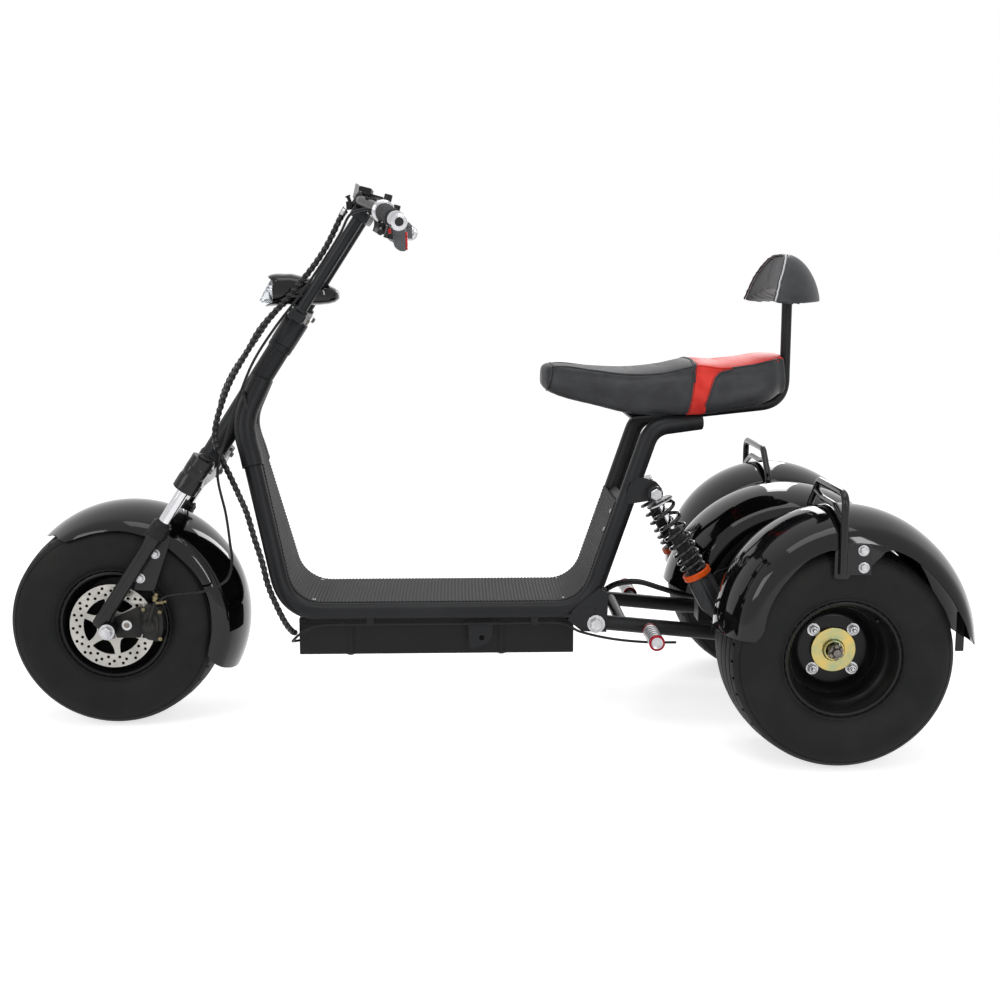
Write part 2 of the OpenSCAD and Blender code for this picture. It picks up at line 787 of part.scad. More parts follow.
// Motor and its reduction case, which carries the axle tube
module motor() {
    color([0.1, 0.1, 0.1])
        difference() {
            union() {
                translate(motor_c)
                    rotate([90, 0, 0]) cylinder(r = motor_r, h = motor_w, center = true);
                translate([rear_x - 110, -60, tyre_r - 50]) cube([160, 120, 100]);
            }
            translate([rear_x, 0, tyre_r])
                rotate([90, 0, 0]) cylinder(r = axle_tube_d / 2 + fit, h = 400, center = true);
        }
}

module rear_brake() {
    color([0.12, 0.12, 0.12])
        difference() {
            translate(motor_c + [-motor_r - 34, -66, -20]) cube([70, 52, 46]);
            translate(motor_c)
                rotate([90, 0, 0]) cylinder(r = motor_r + fit, h = motor_w, center = true);
        }
}

// Points along a shock, from its top eye down to its foot, on one side
module on_shock(side) {
    translate([shock_top.x, side * shock_y, shock_top.z])
        rotate([0, 180 - shock_tilt, 0]) children();
}

collar_at = 187;
damper_r = 27;

module shock_dampers() {
    color([0.1, 0.1, 0.1])
        for (s = [-1, 1])
            on_shock(s)
                difference() {
                    union() {
                        rotate([90, 0, 0]) cylinder(r = 13, h = eye_w, center = true);
                        translate([0, 0, 8]) cylinder(r = 8, h = collar_at);
                        translate([0, 0, 22]) cylinder(r = spring_d / 2 + 1, h = 5);
                        translate([0, 0, collar_at + 18])
                            cylinder(r = damper_r, h = shock_len - collar_at - 46);
                        translate([0, 0, collar_at]) cylinder(r = 21, h = 20);
                        translate([0, 0, shock_len - 30]) cylinder(r = 12, h = 22);
                        translate([0, 0, shock_len])
                            rotate([90, 0, 0]) cylinder(r = 13, h = eye_w, center = true);
                    }
                    for (z = [0, shock_len])
                        translate([0, 0, z])
                            rotate([90, 0, 0]) cylinder(r = 5.3, h = 40, center = true);
                }
}

module shock_springs() {
    turns = spring_turns;
    steps = 14;
    r = (spring_d - spring_wire) / 2;
    from = 27 + fit + spring_wire / 2;
    to = collar_at - fit - spring_wire / 2;
    path = [for (k = [0:turns * steps])
        [r * cos(360 * k / steps), r * sin(360 * k / steps), from + (to - from) * k / (turns * steps)]];
    color([0.05, 0.05, 0.05])
        for (s = [-1, 1])
            on_shock(s) coil(path, spring_wire / 2, 6);
}

// Wire swept round a helix about the Z axis
module coil(path, r, sides) {
    last = len(path) - 1;
    rings = [for (i = [0:last])
        let (
            tangent = unit(path[min(i + 1, last)] - path[max(i - 1, 0)]),
            out = unit([path[i].x, path[i].y, 0]),
            up = unit(cross(out, tangent))
        )
        [for (k = [0:sides - 1])
            path[i] + r * (out * cos(360 * k / sides) - up * sin(360 * k / sides))]];
    skin(rings);
}

module shock_collars() {
    color([0.9, 0.35, 0.05])
        for (s = [-1, 1])
            on_shock(s)
                difference() {
                    translate([0, 0, collar_at]) cylinder(r = spring_d / 2 + 2, h = 17.7);
                    translate([0, 0, collar_at - eps]) cylinder(r = 21 + fit, h = 20);
                }
}

// Ring of a cushion's section across X, with its half width and its top and bottom
function cushion_ring(x, half, top, bottom, n) = [for (k = [0:n - 1])
    let (a = 360 * k / n, c = cos(a), s = sin(a), p = 0.55)
    [
        x,
        half * sign(c) * pow(abs(c), p),
        (top + bottom) / 2 + (top - bottom) / 2 * sign(s) * pow(abs(s), p)
    ]];

module seat() {
    color([0.08, 0.08, 0.08])
        translate([rear_x, 0, tyre_r])
            skin([for (s = seat_stations)
                cushion_ring(s[0], s[1], s[2], seat_floor(s[0]) + s[3], 24)]);
}

module seat_base() {
    start = at_rear([upright_top.x, 0, upright_top.y]);
    lift = tube_r + fit;
    color([0.06, 0.06, 0.06])
        translate(start) rotate([0, -seat_pitch, 0])
            translate([-40, -seat_tube_y - 10, lift]) cube([200, 2 * seat_tube_y + 20, base_t]);
}

module backrest_post() {
    start = at_rear([upright_top.x, 0, upright_top.y]);
    drop = tube_r - post_d / 2;
    post_x = -34;
    low = [start.x + 90 * seat_line.x - drop * sin(seat_pitch), 0,
        start.z + 90 * seat_line.y + drop * cos(seat_pitch)];
    corner_x = rear_x + post_x;
    corner_z = low.z + (corner_x - low.x) * tan(seat_pitch);
    color([0.06, 0.06, 0.06])
        sweep(
            rounded([low, [corner_x, 0, corner_z], [corner_x, 0, tyre_r + pad_z + 16]], [0, 55, 0], 8),
            post_d / 2, 20
        );
}

// Backrest pad: a dome in front view, a leaning face in front and a round back
function pad_ring(u, n) =
    let (
        y = u * pad_half,
        rise = 103 * pow(max(0, 1 - pow(abs(u), 2.6)), 0.6) + 6,
        depth = 0.35 + 0.65 * sqrt(max(0, 1 - u * u))
    )
    [for (k = [0:n - 1])
        let (
            a = 180 * k / (n - 1),
            front = -94 + 48 * (rise / 109) * sin(a),
            px = front + (1 - cos(a)) / 2 * 128 * depth
                - (1 - cos(a)) / 2 * 46 * (rise / 109) * sin(a),
            pz = pad_z + rise * pow(sin(a), 0.7)
        )
        [rear_x + px, y, tyre_r + pz]];

module backrest_pad() {
    color([0.1, 0.1, 0.1])
        difference() {
            skin([for (u = pad_stations) pad_ring(u, 16)]);
            translate([rear_x - 34, 0, tyre_r + pad_z - 74]) cylinder(r = post_d / 2 + fit, h = 91);
        }
}

module side_fender(side) {
    centre = [rear_x + side_fender_c.x, side * track / 2, tyre_r + side_fender_c.y];
    color([0.03, 0.03, 0.03])
        translate(centre) fender(side_fender_r, 0, 180, tongue_line, tongue);
}

module rear_fender_left() side_fender(-1);

module rear_fender_right() side_fender(1);

module rear_fender_centre() {
    color([0.03, 0.03, 0.03])
        translate([rear_x + centre_fender_c.x, 0, tyre_r + centre_fender_c.y])
            fender(centre_fender_r, 12, 156, rear_line);
}

// Grab hoop over a rear tyre: one bent rod, and a second rod that follows the crown
module grab_hoop(side) {
    crown = side_fender_c.y + side_fender_r;
    inner = stay_y - hoop_d / 2 - 4 - 2 * fit;
    corner = track / 2 - 65;
    outer = track / 2 + fender_w + hoop_d / 2 + 2;
    x = rear_x + hoop_x;
    upper = [
        [x, side * inner, tyre_r + 236],
        [x, side * inner, tyre_r + crown - 20],
        [x, side * corner, tyre_r + crown + 38],
        [x, side * outer, tyre_r + crown + 38],
        [x, side * outer, tyre_r + 176]
    ];
    lower = [
        [x, side * (corner - 18), tyre_r + crown + 15],
        [x, side * (corner + 30), tyre_r + crown + 7],
        [x, side * (track / 2 + 60), tyre_r + crown + 7],
        [x, side * (outer), tyre_r + crown - 20]
    ];
    color([0.04, 0.04, 0.04]) {
        sweep(rounded(upper, [0, 25, 25, 25, 0], 4), hoop_d / 2, 10, [1, 0, 0]);
        sweep(rounded(lower, [0, 60, 60, 0], 3), hoop_d / 2 - 0.5, 10, [1, 0, 0]);
        translate([x - 14, side > 0 ? outer - hoop_d / 2 - 1.7 : -outer + hoop_d / 2 - 1.3,
            tyre_r + 168])
            cube([28, 3, 50]);
    }
}

module grab_hoop_left() grab_hoop(-1);

module grab_hoop_right() grab_hoop(1);

// Plates that carry the side fenders, with a bar under the centre one and two posts up to it
module fender_stays() {
    t = 4;
    plate_w = 44;
    plate_h = 280;
    bar_r = 8;
    post_r = 7;
    gap = fender_t + fit;
    bar_z = centre_fender_c.y + centre_fender_r - skirt - 14;
    color([0.06, 0.06, 0.06])
        difference() {
            union() {
                for (s = [-1, 1])
                    translate([rear_x - 32, s > 0 ? stay_y - fit - t : -stay_y + fit, tyre_r - 20])
                        cube([plate_w, t, plate_h]);
                translate([rear_x + centre_fender_c.x, 0, tyre_r + bar_z])
                    rotate([90, 0, 0])
                        cylinder(r = bar_r, h = 2 * (stay_y - fit - t), center = true);
                for (s = [-1, 1])
                    translate([rear_x + centre_fender_c.x, s * 60, tyre_r + bar_z])
                        cylinder(r = post_r, h = 100);
            }
            translate([rear_x + centre_fender_c.x, 0, tyre_r + centre_fender_c.y])
                turned_y(0, 180)
                    difference() {
                        translate([100, -2 * fender_w]) square([centre_fender_r, 4 * fender_w]);
                        domed(centre_fender_r - gap, fender_w - gap,
                            fender_crown - gap, fender_shoulder - gap, 100);
                        translate([100, -3 * fender_w])
                            square([centre_fender_r - skirt - fit - 100, 6 * fender_w]);
                    }
            translate([rear_x, 0, tyre_r])
                rotate([90, 0, 0])
                    cylinder(r = axle_tube_d / 2 + fit, h = 2 * stay_y + 10, center = true);
        }
}

// Foot pegs: a stem, six ribs with grooves between them, and an end cap
module footpegs() {
    reach = 111;
    stem = 40;
    rib = 14;
    ribs = 6;
    color([0.6, 0.6, 0.62])
        for (s = [-1, 1])
            translate(pivot + [reach, s * (arm_y + arm_d / 2 + fit), arm_slope * reach + 3])
                rotate([s > 0 ? -90 : 90, 0, 0]) {
                    cylinder(r = 9, h = stem);
                    for (k = [0:ribs - 1])
                        translate([0, 0, stem + rib * k]) {
                            cylinder(r = 15.5, h = 9);
                            cylinder(r = 12.5, h = rib);
                        }
                    translate([0, 0, stem + rib * ribs]) cylinder(r = 16, h = 12);
                }
}

module tail_lamp() {
    a = 38;
    color([0.7, 0.05, 0.05])
        translate([rear_x + centre_fender_c.x, 0, tyre_r + centre_fender_c.y])
            rotate([0, -a, 0]) translate([centre_fender_r + fit, -50, -22]) {
                cube([26, 100, 44]);
            }
}

module rear_hoses() {
    color([0.05, 0.05, 0.05]) {
        for (dy = [0, 14])
            sweep(spline([for (p = rear_hose_route) p + [0, dy, 0]], 3), 5, 8);
        sweep(spline(rear_line_route, 2), 3, 8);
    }
}

module wiring_harness() {
    color([0.05, 0.05, 0.05]) sweep(spline(harness_route, 3), 6, 10);
}

module front_brake_hose() {
    color([0.05, 0.05, 0.05]) sweep(spline(hose_route, 3), 3, 8);
}

// Fork and handlebar, which turn with the front wheel
module fork_crown() {
    color([0.05, 0.05, 0.05])
        difference() {
            union() {
                rod(at_steer([0, 0, clamp_bottom]), at_steer([0, 0, 0]), head_d / 2 - 8);
                for (s = [-1, 1])
                    rod(at_steer([0, s * leg_y, clamp_bottom]), at_steer([0, s * leg_y, clamp_top]),
                        stanchion_d / 2 + 12);
                translate(at_steer([0, 0, clamp_bottom])) rotate([0, rake, 0])
                    translate([-22, -leg_y, 0]) cube([44, 2 * leg_y, crown_top - clamp_bottom]);
            }
            for (s = [-1, 1])
                rod(at_steer([0, s * leg_y, clamp_bottom - eps]),
                    at_steer([0, s * leg_y, clamp_top + eps]), stanchion_d / 2 + fit);
        }
}

module fork_stanchions() {
    color([0.85, 0.85, 0.87])
        for (s = [-1, 1])
            rod(at_steer([0, s * leg_y, seal_top - 60]), at_steer([0, s * leg_y, clamp_top]),
                stanchion_d / 2);
}

module fork_lowers() {
    color([0.06, 0.06, 0.06])
        difference() {
            union()
                for (s = [-1, 1]) {
                    rod(at_steer([0, s * leg_y, -fork_len - 4]), at_steer([0, s * leg_y, seal_bottom]),
                        leg_d / 2);
                    rod(at_steer([0, s * leg_y, seal_bottom]), at_steer([0, s * leg_y, seal_top]),
                        leg_d / 2 + 2);
                    translate(at_steer([0, s * leg_y, -fork_len])) rotate([0, rake, 0])
                        translate([0, -leg_d / 2, -16]) cube([fork_offset, leg_d, 32]);
                    translate(at_front([0, s * leg_y, 0]))
                        rotate([90, 0, 0]) cylinder(r = 16, h = leg_d, center = true);
                }
            for (s = [-1, 1])
                rod(at_steer([0, s * leg_y, seal_top - 62]), at_steer([0, s * leg_y, seal_top + eps]),
                    stanchion_d / 2 + fit);
            translate(at_front([0, 0, 0]))
                rotate([90, 0, 0]) cylinder(r = 6 + fit, h = 2 * leg_y + 80, center = true);
        }
}

module front_axle() {
    half = leg_y + leg_d / 2;
    color([0.7, 0.7, 0.72])
        translate(at_front([0, 0, 0])) rotate([90, 0, 0]) {
            cylinder(r = 6, h = 2 * half + 12, center = true);
            for (e = [-1, 1])
                translate([0, 0, e * (half + 4 + fit)]) cylinder(r = 12, h = 8, center = true);
            translate([0, 0, -disc_y + fit]) cylinder(r = 10, h = 15 - 2 * fit);
            translate([0, 0, -leg_y + leg_d / 2 + fit])
                cylinder(r = 10, h = 15 + disc_t - 2 * fit);
        }
}

riser_y = 58;
riser_top = 248;
yoke_top = 24;

module riser_bars() {
    color([0.06, 0.06, 0.06]) {
        difference() {
            union() {
                rod(at_steer([0, 0, head_top + fit]), at_steer([0, 0, 0]), head_d / 2 + 2.5);
                translate(at_steer([0, 0, 0])) rotate([0, rake, 0])
                    translate([-18, -riser_y - 16, 0]) cube([36, 2 * riser_y + 32, yoke_top]);
            }
            rod(at_steer([0, 0, head_top]), at_steer([0, 0, 0.3]), head_d / 2 - 8 + fit);
        }
        for (s = [-1, 1])
            rod(at_steer([0, s * riser_y, yoke_top]), at_steer([0, s * riser_y, riser_top]), 12);
        translate(at_steer([0, 0, riser_top])) rotate([0, rake, 0])
            difference() {
                union() {
                    translate([-20, -riser_y - 15, 0]) cube([40, 2 * riser_y + 30, clamp_t]);
                    for (s = [-1, 1])
                        translate([bar_x - bar_d / 2 - 6, s * 34 - 13, clamp_t])
                            cube([bar_d + 12, 26, bar_d + 6]);
                }
                translate([bar_x, 0, bar_t - riser_top])
                    rotate([90, 0, 0]) cylinder(r = bar_d / 2 + fit, h = 160, center = true);
            }
    }
}

clamp_t = 22;
bar_x = -14;
bar_t = riser_top + clamp_t + bar_d / 2 + 2;
bar_points = [
    at_steer([bar_x, -78, bar_t]),
    at_steer([52, -180, bar_t + 17]),
    at_steer([105, -345, bar_t + 3])
];

module handlebar() {
    right = mirrored(bar_points);
    color([0.6, 0.6, 0.62])
        sweep(
            rounded([bar_points[2], bar_points[1], bar_points[0], right[0], right[1], right[2]],
                [0, 60, 80, 80, 60, 0], 4),
            bar_d / 2, 20, [1, 0, 0]
        );
}

module grips() {
    color([0.3, 0.3, 0.3])
        for (side = [-1, 1]) {
            a = side < 0 ? bar_points[1] : mirrored([bar_points[1]])[0];
            e = side < 0 ? bar_points[2] : mirrored([bar_points[2]])[0];
            u = unit(e - a);
            difference() {
                union() {
                    rod(a + u * 42, e + u * 4, 16);
                    rod(a + u * 36, a + u * 42, 21);
                }
                rod(a + u * 30, e + u * 0.3, bar_d / 2 + fit);
            }
        }
}

// Threaded socket for a mirror on each brake lever's clamp
socket_r = 4;
socket_depth = 13;

module brake_levers() {
    color([0.12, 0.12, 0.12])
        for (side = [-1, 1]) {
            a = side < 0 ? bar_points[1] : mirrored([bar_points[1]])[0];
            e = side < 0 ? bar_points[2] : mirrored([bar_points[2]])[0];
            u = unit(e - a);
            difference() {
                union() {
                    rod(a + u * 12, a + u * 34, 17);
                    rod(a + u * 23, a + u * 23 + [-34, 0, 2], 10);
                    rod(a + u * 23 + [-34, 0, 2], e - u * 6 + [-42, 0, 6], 5);
                    translate(a + u * 23) cylinder(r = socket_r + 4, h = 32);
                }
                rod(a - u * 10, e, bar_d / 2 + fit);
                translate(a + u * 23 + [0, 0, 32 - socket_depth])
                    cylinder(r = socket_r, h = socket_depth + eps);
            }
        }
}

module dash() {
    color([0.05, 0.05, 0.05])
        translate(at_steer([bar_x, 0, bar_t])) rotate([0, rake, 0]) {
            translate([-bar_d / 2 - 22, -38, -30]) cube([15.7, 76, 46]);
            translate([-bar_d / 2 - 22, -38, bar_d / 2 + 4.3]) cube([62, 76, 10]);
        }
}

// Headlamp stations along X: x from the steering axis top, half width, top and bottom height
lamp_stations = [
    [-46, 52, 94, 34],
    [-30, 56, 97, 32],
    [-8, riser_y - 12.3, 97, 31],
    [50, riser_y - 12.3, 81, 31],
    [70, 38, 72, 33],
    [90, 26, 60, 40]
];

module headlamp() {
    color([0.04, 0.04, 0.04])
        translate(at_steer([0, 0, 0]))
            skin([for (s = lamp_stations) cushion_ring(s[0], s[1], s[2], s[3], 24)]);
}

module headlamp_lens() {
    color([0.85, 0.88, 0.9])
        translate(at_steer([0, 0, 0]))
            skin([
                cushion_ring(-76, 30, 66, 38, 24),
                cushion_ring(-70, 40, 76, 34, 24),
                cushion_ring(-46 - fit, 50, 92, 35, 24)
            ]);
}

module front_fender() {
    color([0.03, 0.03, 0.03])
        translate(at_front([front_fender_c.x, 0, front_fender_c.y]))
            fender(front_fender_r, -31, 165, front_line);
}

module front_fender_stays() {
    color([0.08, 0.08, 0.08])
        for (s = [-1, 1])
            translate([0, s > 0 ? leg_y - leg_d / 2 - fit : -leg_y + leg_d / 2 + fit + 1.7, 0])
                rotate([90, 0, 0]) linear_extrude(1.7)
                    polygon([
                        for (p = [[60, 90], [92, 84], [128, 190], [60, 210], [78, 150]])
                            [front_x + p.x, tyre_r + p.y]
                    ]);
}

// Outer face of the brake disc, on the left, and its thickness
disc_y = -leg_y + leg_d / 2 + 15;
disc_t = 4;

module brake_disc() {
    t = disc_t;
    r = disc_d / 2;
    hub_r = 29;
    color([0.75, 0.75, 0.77])
        translate(at_front([0, disc_y, 0])) rotate([90, 0, 0])
            difference() {
                translate([0, 0, -t]) cylinder(r = r, h = t, $fn = 120);
                translate([0, 0, -t - eps]) cylinder(r = 12, h = t + 2 * eps);
                for (k = [0:5])
                    rotate([0, 0, 60 * k]) brake_window(hub_r + 2, 0.66 * r, t);
                for (row = [[0.763, 0], [0.85, 10], [0.911, 0]], k = [0:17])
                    rotate([0, 0, 20 * k + row[1]]) translate([row[0] * r, 0, -t - eps])
                        cylinder(r = 3.4, h = t + 2 * eps, $fn = 24);
            }
}

// Window between two spokes of the brake disc
module brake_window(inner, outer, t) {
    translate([0, 0, -t - eps])
        rotate([0, 0, -20]) rotate_extrude(angle = 40)
            translate([inner, 0]) square([outer - inner, t + 2 * eps]);
}

// Curved block about the wheel's axis, from radius a to b, thick from y down to y - t
module sector(a, b, y, t, start, angle) {
    translate([0, y, 0]) turned_y(start, angle) translate([a, 0]) square([b - a, t]);
}

module front_caliper() {
    r = disc_d / 2;
    color([0.1, 0.1, 0.1])
        translate(at_front([0, 0, 0])) {
            sector(0.62 * r, r + 8, disc_y + disc_t + 6.5, 5, -18, 42);
            sector(r + 2, r + 8, disc_y + disc_t + 6.5, disc_t + 9, -18, 42);
            sector(0.62 * r, r + 20, disc_y - 1.5, 16, -20, 46);
            translate([0.9 * r, disc_y - 17, 4]) rotate([90, 0, 0]) cylinder(r = 15, h = 8);
            difference() {
                translate([4, disc_y - 14.7, -20]) cube([0.62 * r + 8, 6, 42]);
                rotate([90, 0, 0]) cylinder(r = 12, h = 3 * leg_y, center = true);
            }
        }
}

module front_rim() {
    color([0.05, 0.05, 0.05])
        translate(at_front([0, 0, 0])) {
            rim_barrel();
            difference() {
                union() {
                    rotate([90, 0, 0]) cylinder(r = drop_r + 2, h = 8, center = true);
                    rotate([90, 0, 0]) cylinder(r = 30, h = -2 * (disc_y + disc_t), center = true);
                }
                rotate([90, 0, 0]) cylinder(r = 6.6, h = 400, center = true);
            }
        }
}

module front_tyre() translate(at_front([0, 0, 0])) tyre();

module rear_tyre_left() translate(at_rear([0, -track / 2, 0])) tyre();

module rear_tyre_right() translate(at_rear([0, track / 2, 0])) tyre();

module rear_rim_left() translate(at_rear([0, -track / 2, 0])) mirror([0, 1, 0]) rear_rim();

module rear_rim_right() translate(at_rear([0, track / 2, 0])) rear_rim();

module rear_hub_left() translate(at_rear([0, -track / 2, 0])) mirror([0, 1, 0]) rear_hub();

module rear_hub_right() translate(at_rear([0, track / 2, 0])) rear_hub();

head_tube();
frame_tube_left();
frame_tube_right();
cross_members();
frame_brackets();
floor_mat();
battery_box();
battery_straps();
swing_arm();
rear_axle();
motor();
rear_brake();
shock_dampers();
shock_springs();
shock_collars();
seat();
seat_base();
backrest_post();
backrest_pad();
rear_fender_left();
rear_fender_right();
rear_fender_centre();
grab_hoop_left();
grab_hoop_right();
fender_stays();
footpegs();
tail_lamp();
rear_hoses();
wiring_harness();
front_brake_hose();
fork_crown();
fork_stanchions();
fork_lowers();
riser_bars();
handlebar();
grips();
brake_levers();
dash();
headlamp();
headlamp_lens();
front_fender();
front_fender_stays();
front_caliper();
front_axle();
front_tyre();
front_rim();
brake_disc();
rear_tyre_left();
rear_rim_left();
rear_hub_left();
rear_tyre_right();
rear_rim_right();
rear_hub_right();
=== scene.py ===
import math

import bmesh
import bpy
from mathutils import Matrix, Vector


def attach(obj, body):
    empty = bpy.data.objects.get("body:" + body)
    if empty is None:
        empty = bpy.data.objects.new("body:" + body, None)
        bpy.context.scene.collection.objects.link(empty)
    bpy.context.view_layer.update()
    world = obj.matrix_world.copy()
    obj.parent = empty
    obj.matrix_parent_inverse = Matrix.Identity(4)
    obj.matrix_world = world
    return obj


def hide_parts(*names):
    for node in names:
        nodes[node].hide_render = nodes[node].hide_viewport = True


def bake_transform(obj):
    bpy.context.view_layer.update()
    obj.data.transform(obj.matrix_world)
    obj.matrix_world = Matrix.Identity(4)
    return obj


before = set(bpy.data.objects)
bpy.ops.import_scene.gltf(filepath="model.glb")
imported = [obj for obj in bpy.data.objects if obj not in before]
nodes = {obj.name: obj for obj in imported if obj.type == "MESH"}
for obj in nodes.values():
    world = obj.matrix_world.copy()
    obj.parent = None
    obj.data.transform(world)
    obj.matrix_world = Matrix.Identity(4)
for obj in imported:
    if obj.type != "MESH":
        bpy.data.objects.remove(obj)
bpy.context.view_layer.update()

# Camera
# The photograph looks at the left side from three metres off, a little above the handlebar,
# turned a touch towards the back.
camera_turn = -0.032
camera_drop = 0.1608
camera_data = bpy.data.cameras.new("camera")
camera_data.sensor_width = 36
camera_data.lens = 49.35
camera = bpy.data.objects.new("camera", camera_data)
bpy.context.scene.collection.objects.link(camera)
camera.location = (-0.024, -2.956, 0.954)
camera.rotation_euler = (math.pi / 2 - camera_drop, 0, camera_turn)
bpy.context.scene.camera = camera
bpy.context.scene.view_settings.view_transform = "Standard"

# Floor and light
# A white studio floor, which shows white to the camera and keeps a soft shadow under the wheels,
# with a large softbox overhead, one at the front and two strips that draw lines on the fenders.


def new_object(name, mesh):
    made = bpy.data.objects.new(name, mesh)
    bpy.context.scene.collection.objects.link(made)
    return made


def mesh_from(bm, name):
    mesh = bpy.data.meshes.new(name)
    bm.to_mesh(mesh)
    bm.free()
    return new_object(name, mesh)


def fill(tree, node, sockets):
    """Sets a node's inputs. Each takes a value, or another node's output."""
    for socket, value in sockets.items():
        if isinstance(value, bpy.types.NodeSocket):
            tree.links.new(value, node.inputs[socket])
        else:
            node.inputs[socket].default_value = value


def node_of(tree, kind, sockets=None, **settings):
    """A shader node with its settings and inputs."""
    made = tree.nodes.new("ShaderNode" + kind)
    for name, value in settings.items():
        setattr(made, name, value)
    fill(tree, made, sockets or {})
    return made


def new_look(name):
    """An empty material, with its node tree."""
    look = bpy.data.materials.new(name)
    look.use_nodes = True
    return look, look.node_tree


def shows_and_lights(tree, kind, shown, lit):
    """Output node that takes one shader for camera, glossy and clear rays, and one for the rest."""
    path = node_of(tree, "LightPath").outputs
    first = node_of(tree, "Math", {0: path["Is Camera Ray"], 1: path["Is Glossy Ray"]},
                    operation="MAXIMUM")
    seen = node_of(tree, "Math", {0: first.outputs[0], 1: path["Is Transmission Ray"]},
                   operation="MAXIMUM")
    both = node_of(tree, "MixShader", {0: seen.outputs[0], 1: lit.outputs[0], 2: shown.outputs[0]})
    node_of(tree, kind, {"Surface": both.outputs[0]})


bm = bmesh.new()
bmesh.ops.create_grid(bm, x_segments=1, y_segments=1, size=30)
floor = mesh_from(bm, "floor")
floor_look, tree = new_look("studio_floor")
tree.nodes.clear()
matt = node_of(tree, "BsdfDiffuse", {"Color": (0.82, 0.82, 0.82, 1)})
glow = node_of(tree, "Emission", {"Strength": 0.7})
bright = node_of(tree, "AddShader", {0: matt.outputs[0], 1: glow.outputs[0]})
shows_and_lights(tree, "OutputMaterial", bright, matt)
floor.data.materials.append(floor_look)

world = bpy.data.worlds.new("studio")
bpy.context.scene.world = world
world.use_nodes = True
tree = world.node_tree
tree.nodes.clear()
soft = node_of(tree, "Background", {"Color": (1, 1, 1, 1), "Strength": 0.45})
white = node_of(tree, "Background", {"Color": (1, 1, 1, 1), "Strength": 1})
shows_and_lights(tree, "OutputWorld", white, soft)

# each lamp: name, place, where it points, its width and height, its power in watts
for name, place, target, size, power in (
    ("softbox_above", (0.1, -0.6, 3.2), (0, 0, 0.3), (2.6, 1.6), 30),
    ("softbox_front", (-2.6, -2.4, 1.9), (0, 0, 0.4), (1.4, 1.4), 24),
    ("strip_near", (1.6, -3.0, 1.5), (0.5, 0, 0.4), (0.3, 1.7), 20),
    ("strip_back", (1.2, 2.6, 1.9), (0.3, 0, 0.5), (0.5, 1.8), 18),
):
    lamp = bpy.data.lights.new(name, "AREA")
    lamp.shape = "RECTANGLE"
    lamp.size, lamp.size_y = size
    lamp.energy = power
    made = new_object(name, lamp)
    made.location = place
    made.rotation_euler = (Vector(target) - Vector(place)).to_track_quat("-Z", "Y").to_euler()

# Frame
# Welded round steel tube in satin black powder coat: a head tube that swells into a cast-looking
# neck, and one bent tube down each side that runs under the deck and rises to the seat.


def surface_group():
    """Colour that varies in patches, a fine grain, and worn bright edges."""
    group = bpy.data.node_groups.new("worn_surface", "ShaderNodeTree")
    face = group.interface
    for socket, kind in (
        ("Color", "NodeSocketColor"), ("Second Color", "NodeSocketColor"),
        ("Edge Color", "NodeSocketColor"), ("Patch Scale", "NodeSocketFloat"),
        ("Roughness", "NodeSocketFloat"), ("Roughness Spread", "NodeSocketFloat"),
        ("Grain Scale", "NodeSocketFloat"), ("Grain Height", "NodeSocketFloat"),
        ("Edge Radius", "NodeSocketFloat"), ("Edge Wear", "NodeSocketFloat"),
    ):
        face.new_socket(socket, in_out="INPUT", socket_type=kind)
    face.new_socket("Color", in_out="OUTPUT", socket_type="NodeSocketColor")
    face.new_socket("Roughness", in_out="OUTPUT", socket_type="NodeSocketFloat")
    face.new_socket("Normal", in_out="OUTPUT", socket_type="NodeSocketVector")
    given = group.nodes.new("NodeGroupInput").outputs
    place = node_of(group, "TexCoord").outputs["Object"]

    patches = node_of(group, "TexNoise", {"Vector": place, "Scale": given["Patch Scale"], "Detail": 4})
    steps = node_of(group, "MapRange", {"Value": patches.outputs[0], "From Min": 0.35, "From Max": 0.7})
    tint = node_of(group, "Mix", {0: steps.outputs[0], "A": given["Color"],
                                  "B": given["Second Color"]}, data_type="RGBA")
    grain = node_of(group, "TexNoise", {"Vector": place, "Scale": given["Grain Scale"], "Detail": 3})
    rounded_edge = node_of(group, "Bevel", {"Radius": given["Edge Radius"]}, samples=4)
    bump = node_of(group, "Bump", {"Strength": 1, "Distance": given["Grain Height"],
                                   "Height": grain.outputs[0], "Normal": rounded_edge.outputs[0]})
    flat = node_of(group, "NewGeometry").outputs["Normal"]
    agree = node_of(group, "VectorMath", {0: flat, 1: rounded_edge.outputs[0]}, operation="DOT_PRODUCT")
    edge = node_of(group, "MapRange", {"Value": agree.outputs["Value"], "From Min": 0.985,
                                       "From Max": 0.8})
    broken = node_of(group, "Math", {0: edge.outputs[0], 1: steps.outputs[0]}, operation="MULTIPLY")
    share = node_of(group, "Math", {0: broken.outputs[0], 1: given["Edge Wear"]}, operation="MULTIPLY")
    worn = node_of(group, "Mix", {0: share.outputs[0], "A": tint.outputs["Result"],
                                  "B": given["Edge Color"]}, data_type="RGBA")
    spread = node_of(group, "Math", {0: patches.outputs[0], 1: given["Roughness Spread"],
                                     2: given["Roughness"]}, operation="MULTIPLY_ADD")
    result = group.nodes.new("NodeGroupOutput").inputs
    for socket, source in (("Color", worn.outputs["Result"]), ("Roughness", spread.outputs[0]),
                           ("Normal", bump.outputs[0])):
        group.links.new(source, result[socket])
    return group


worn_surface = surface_group()


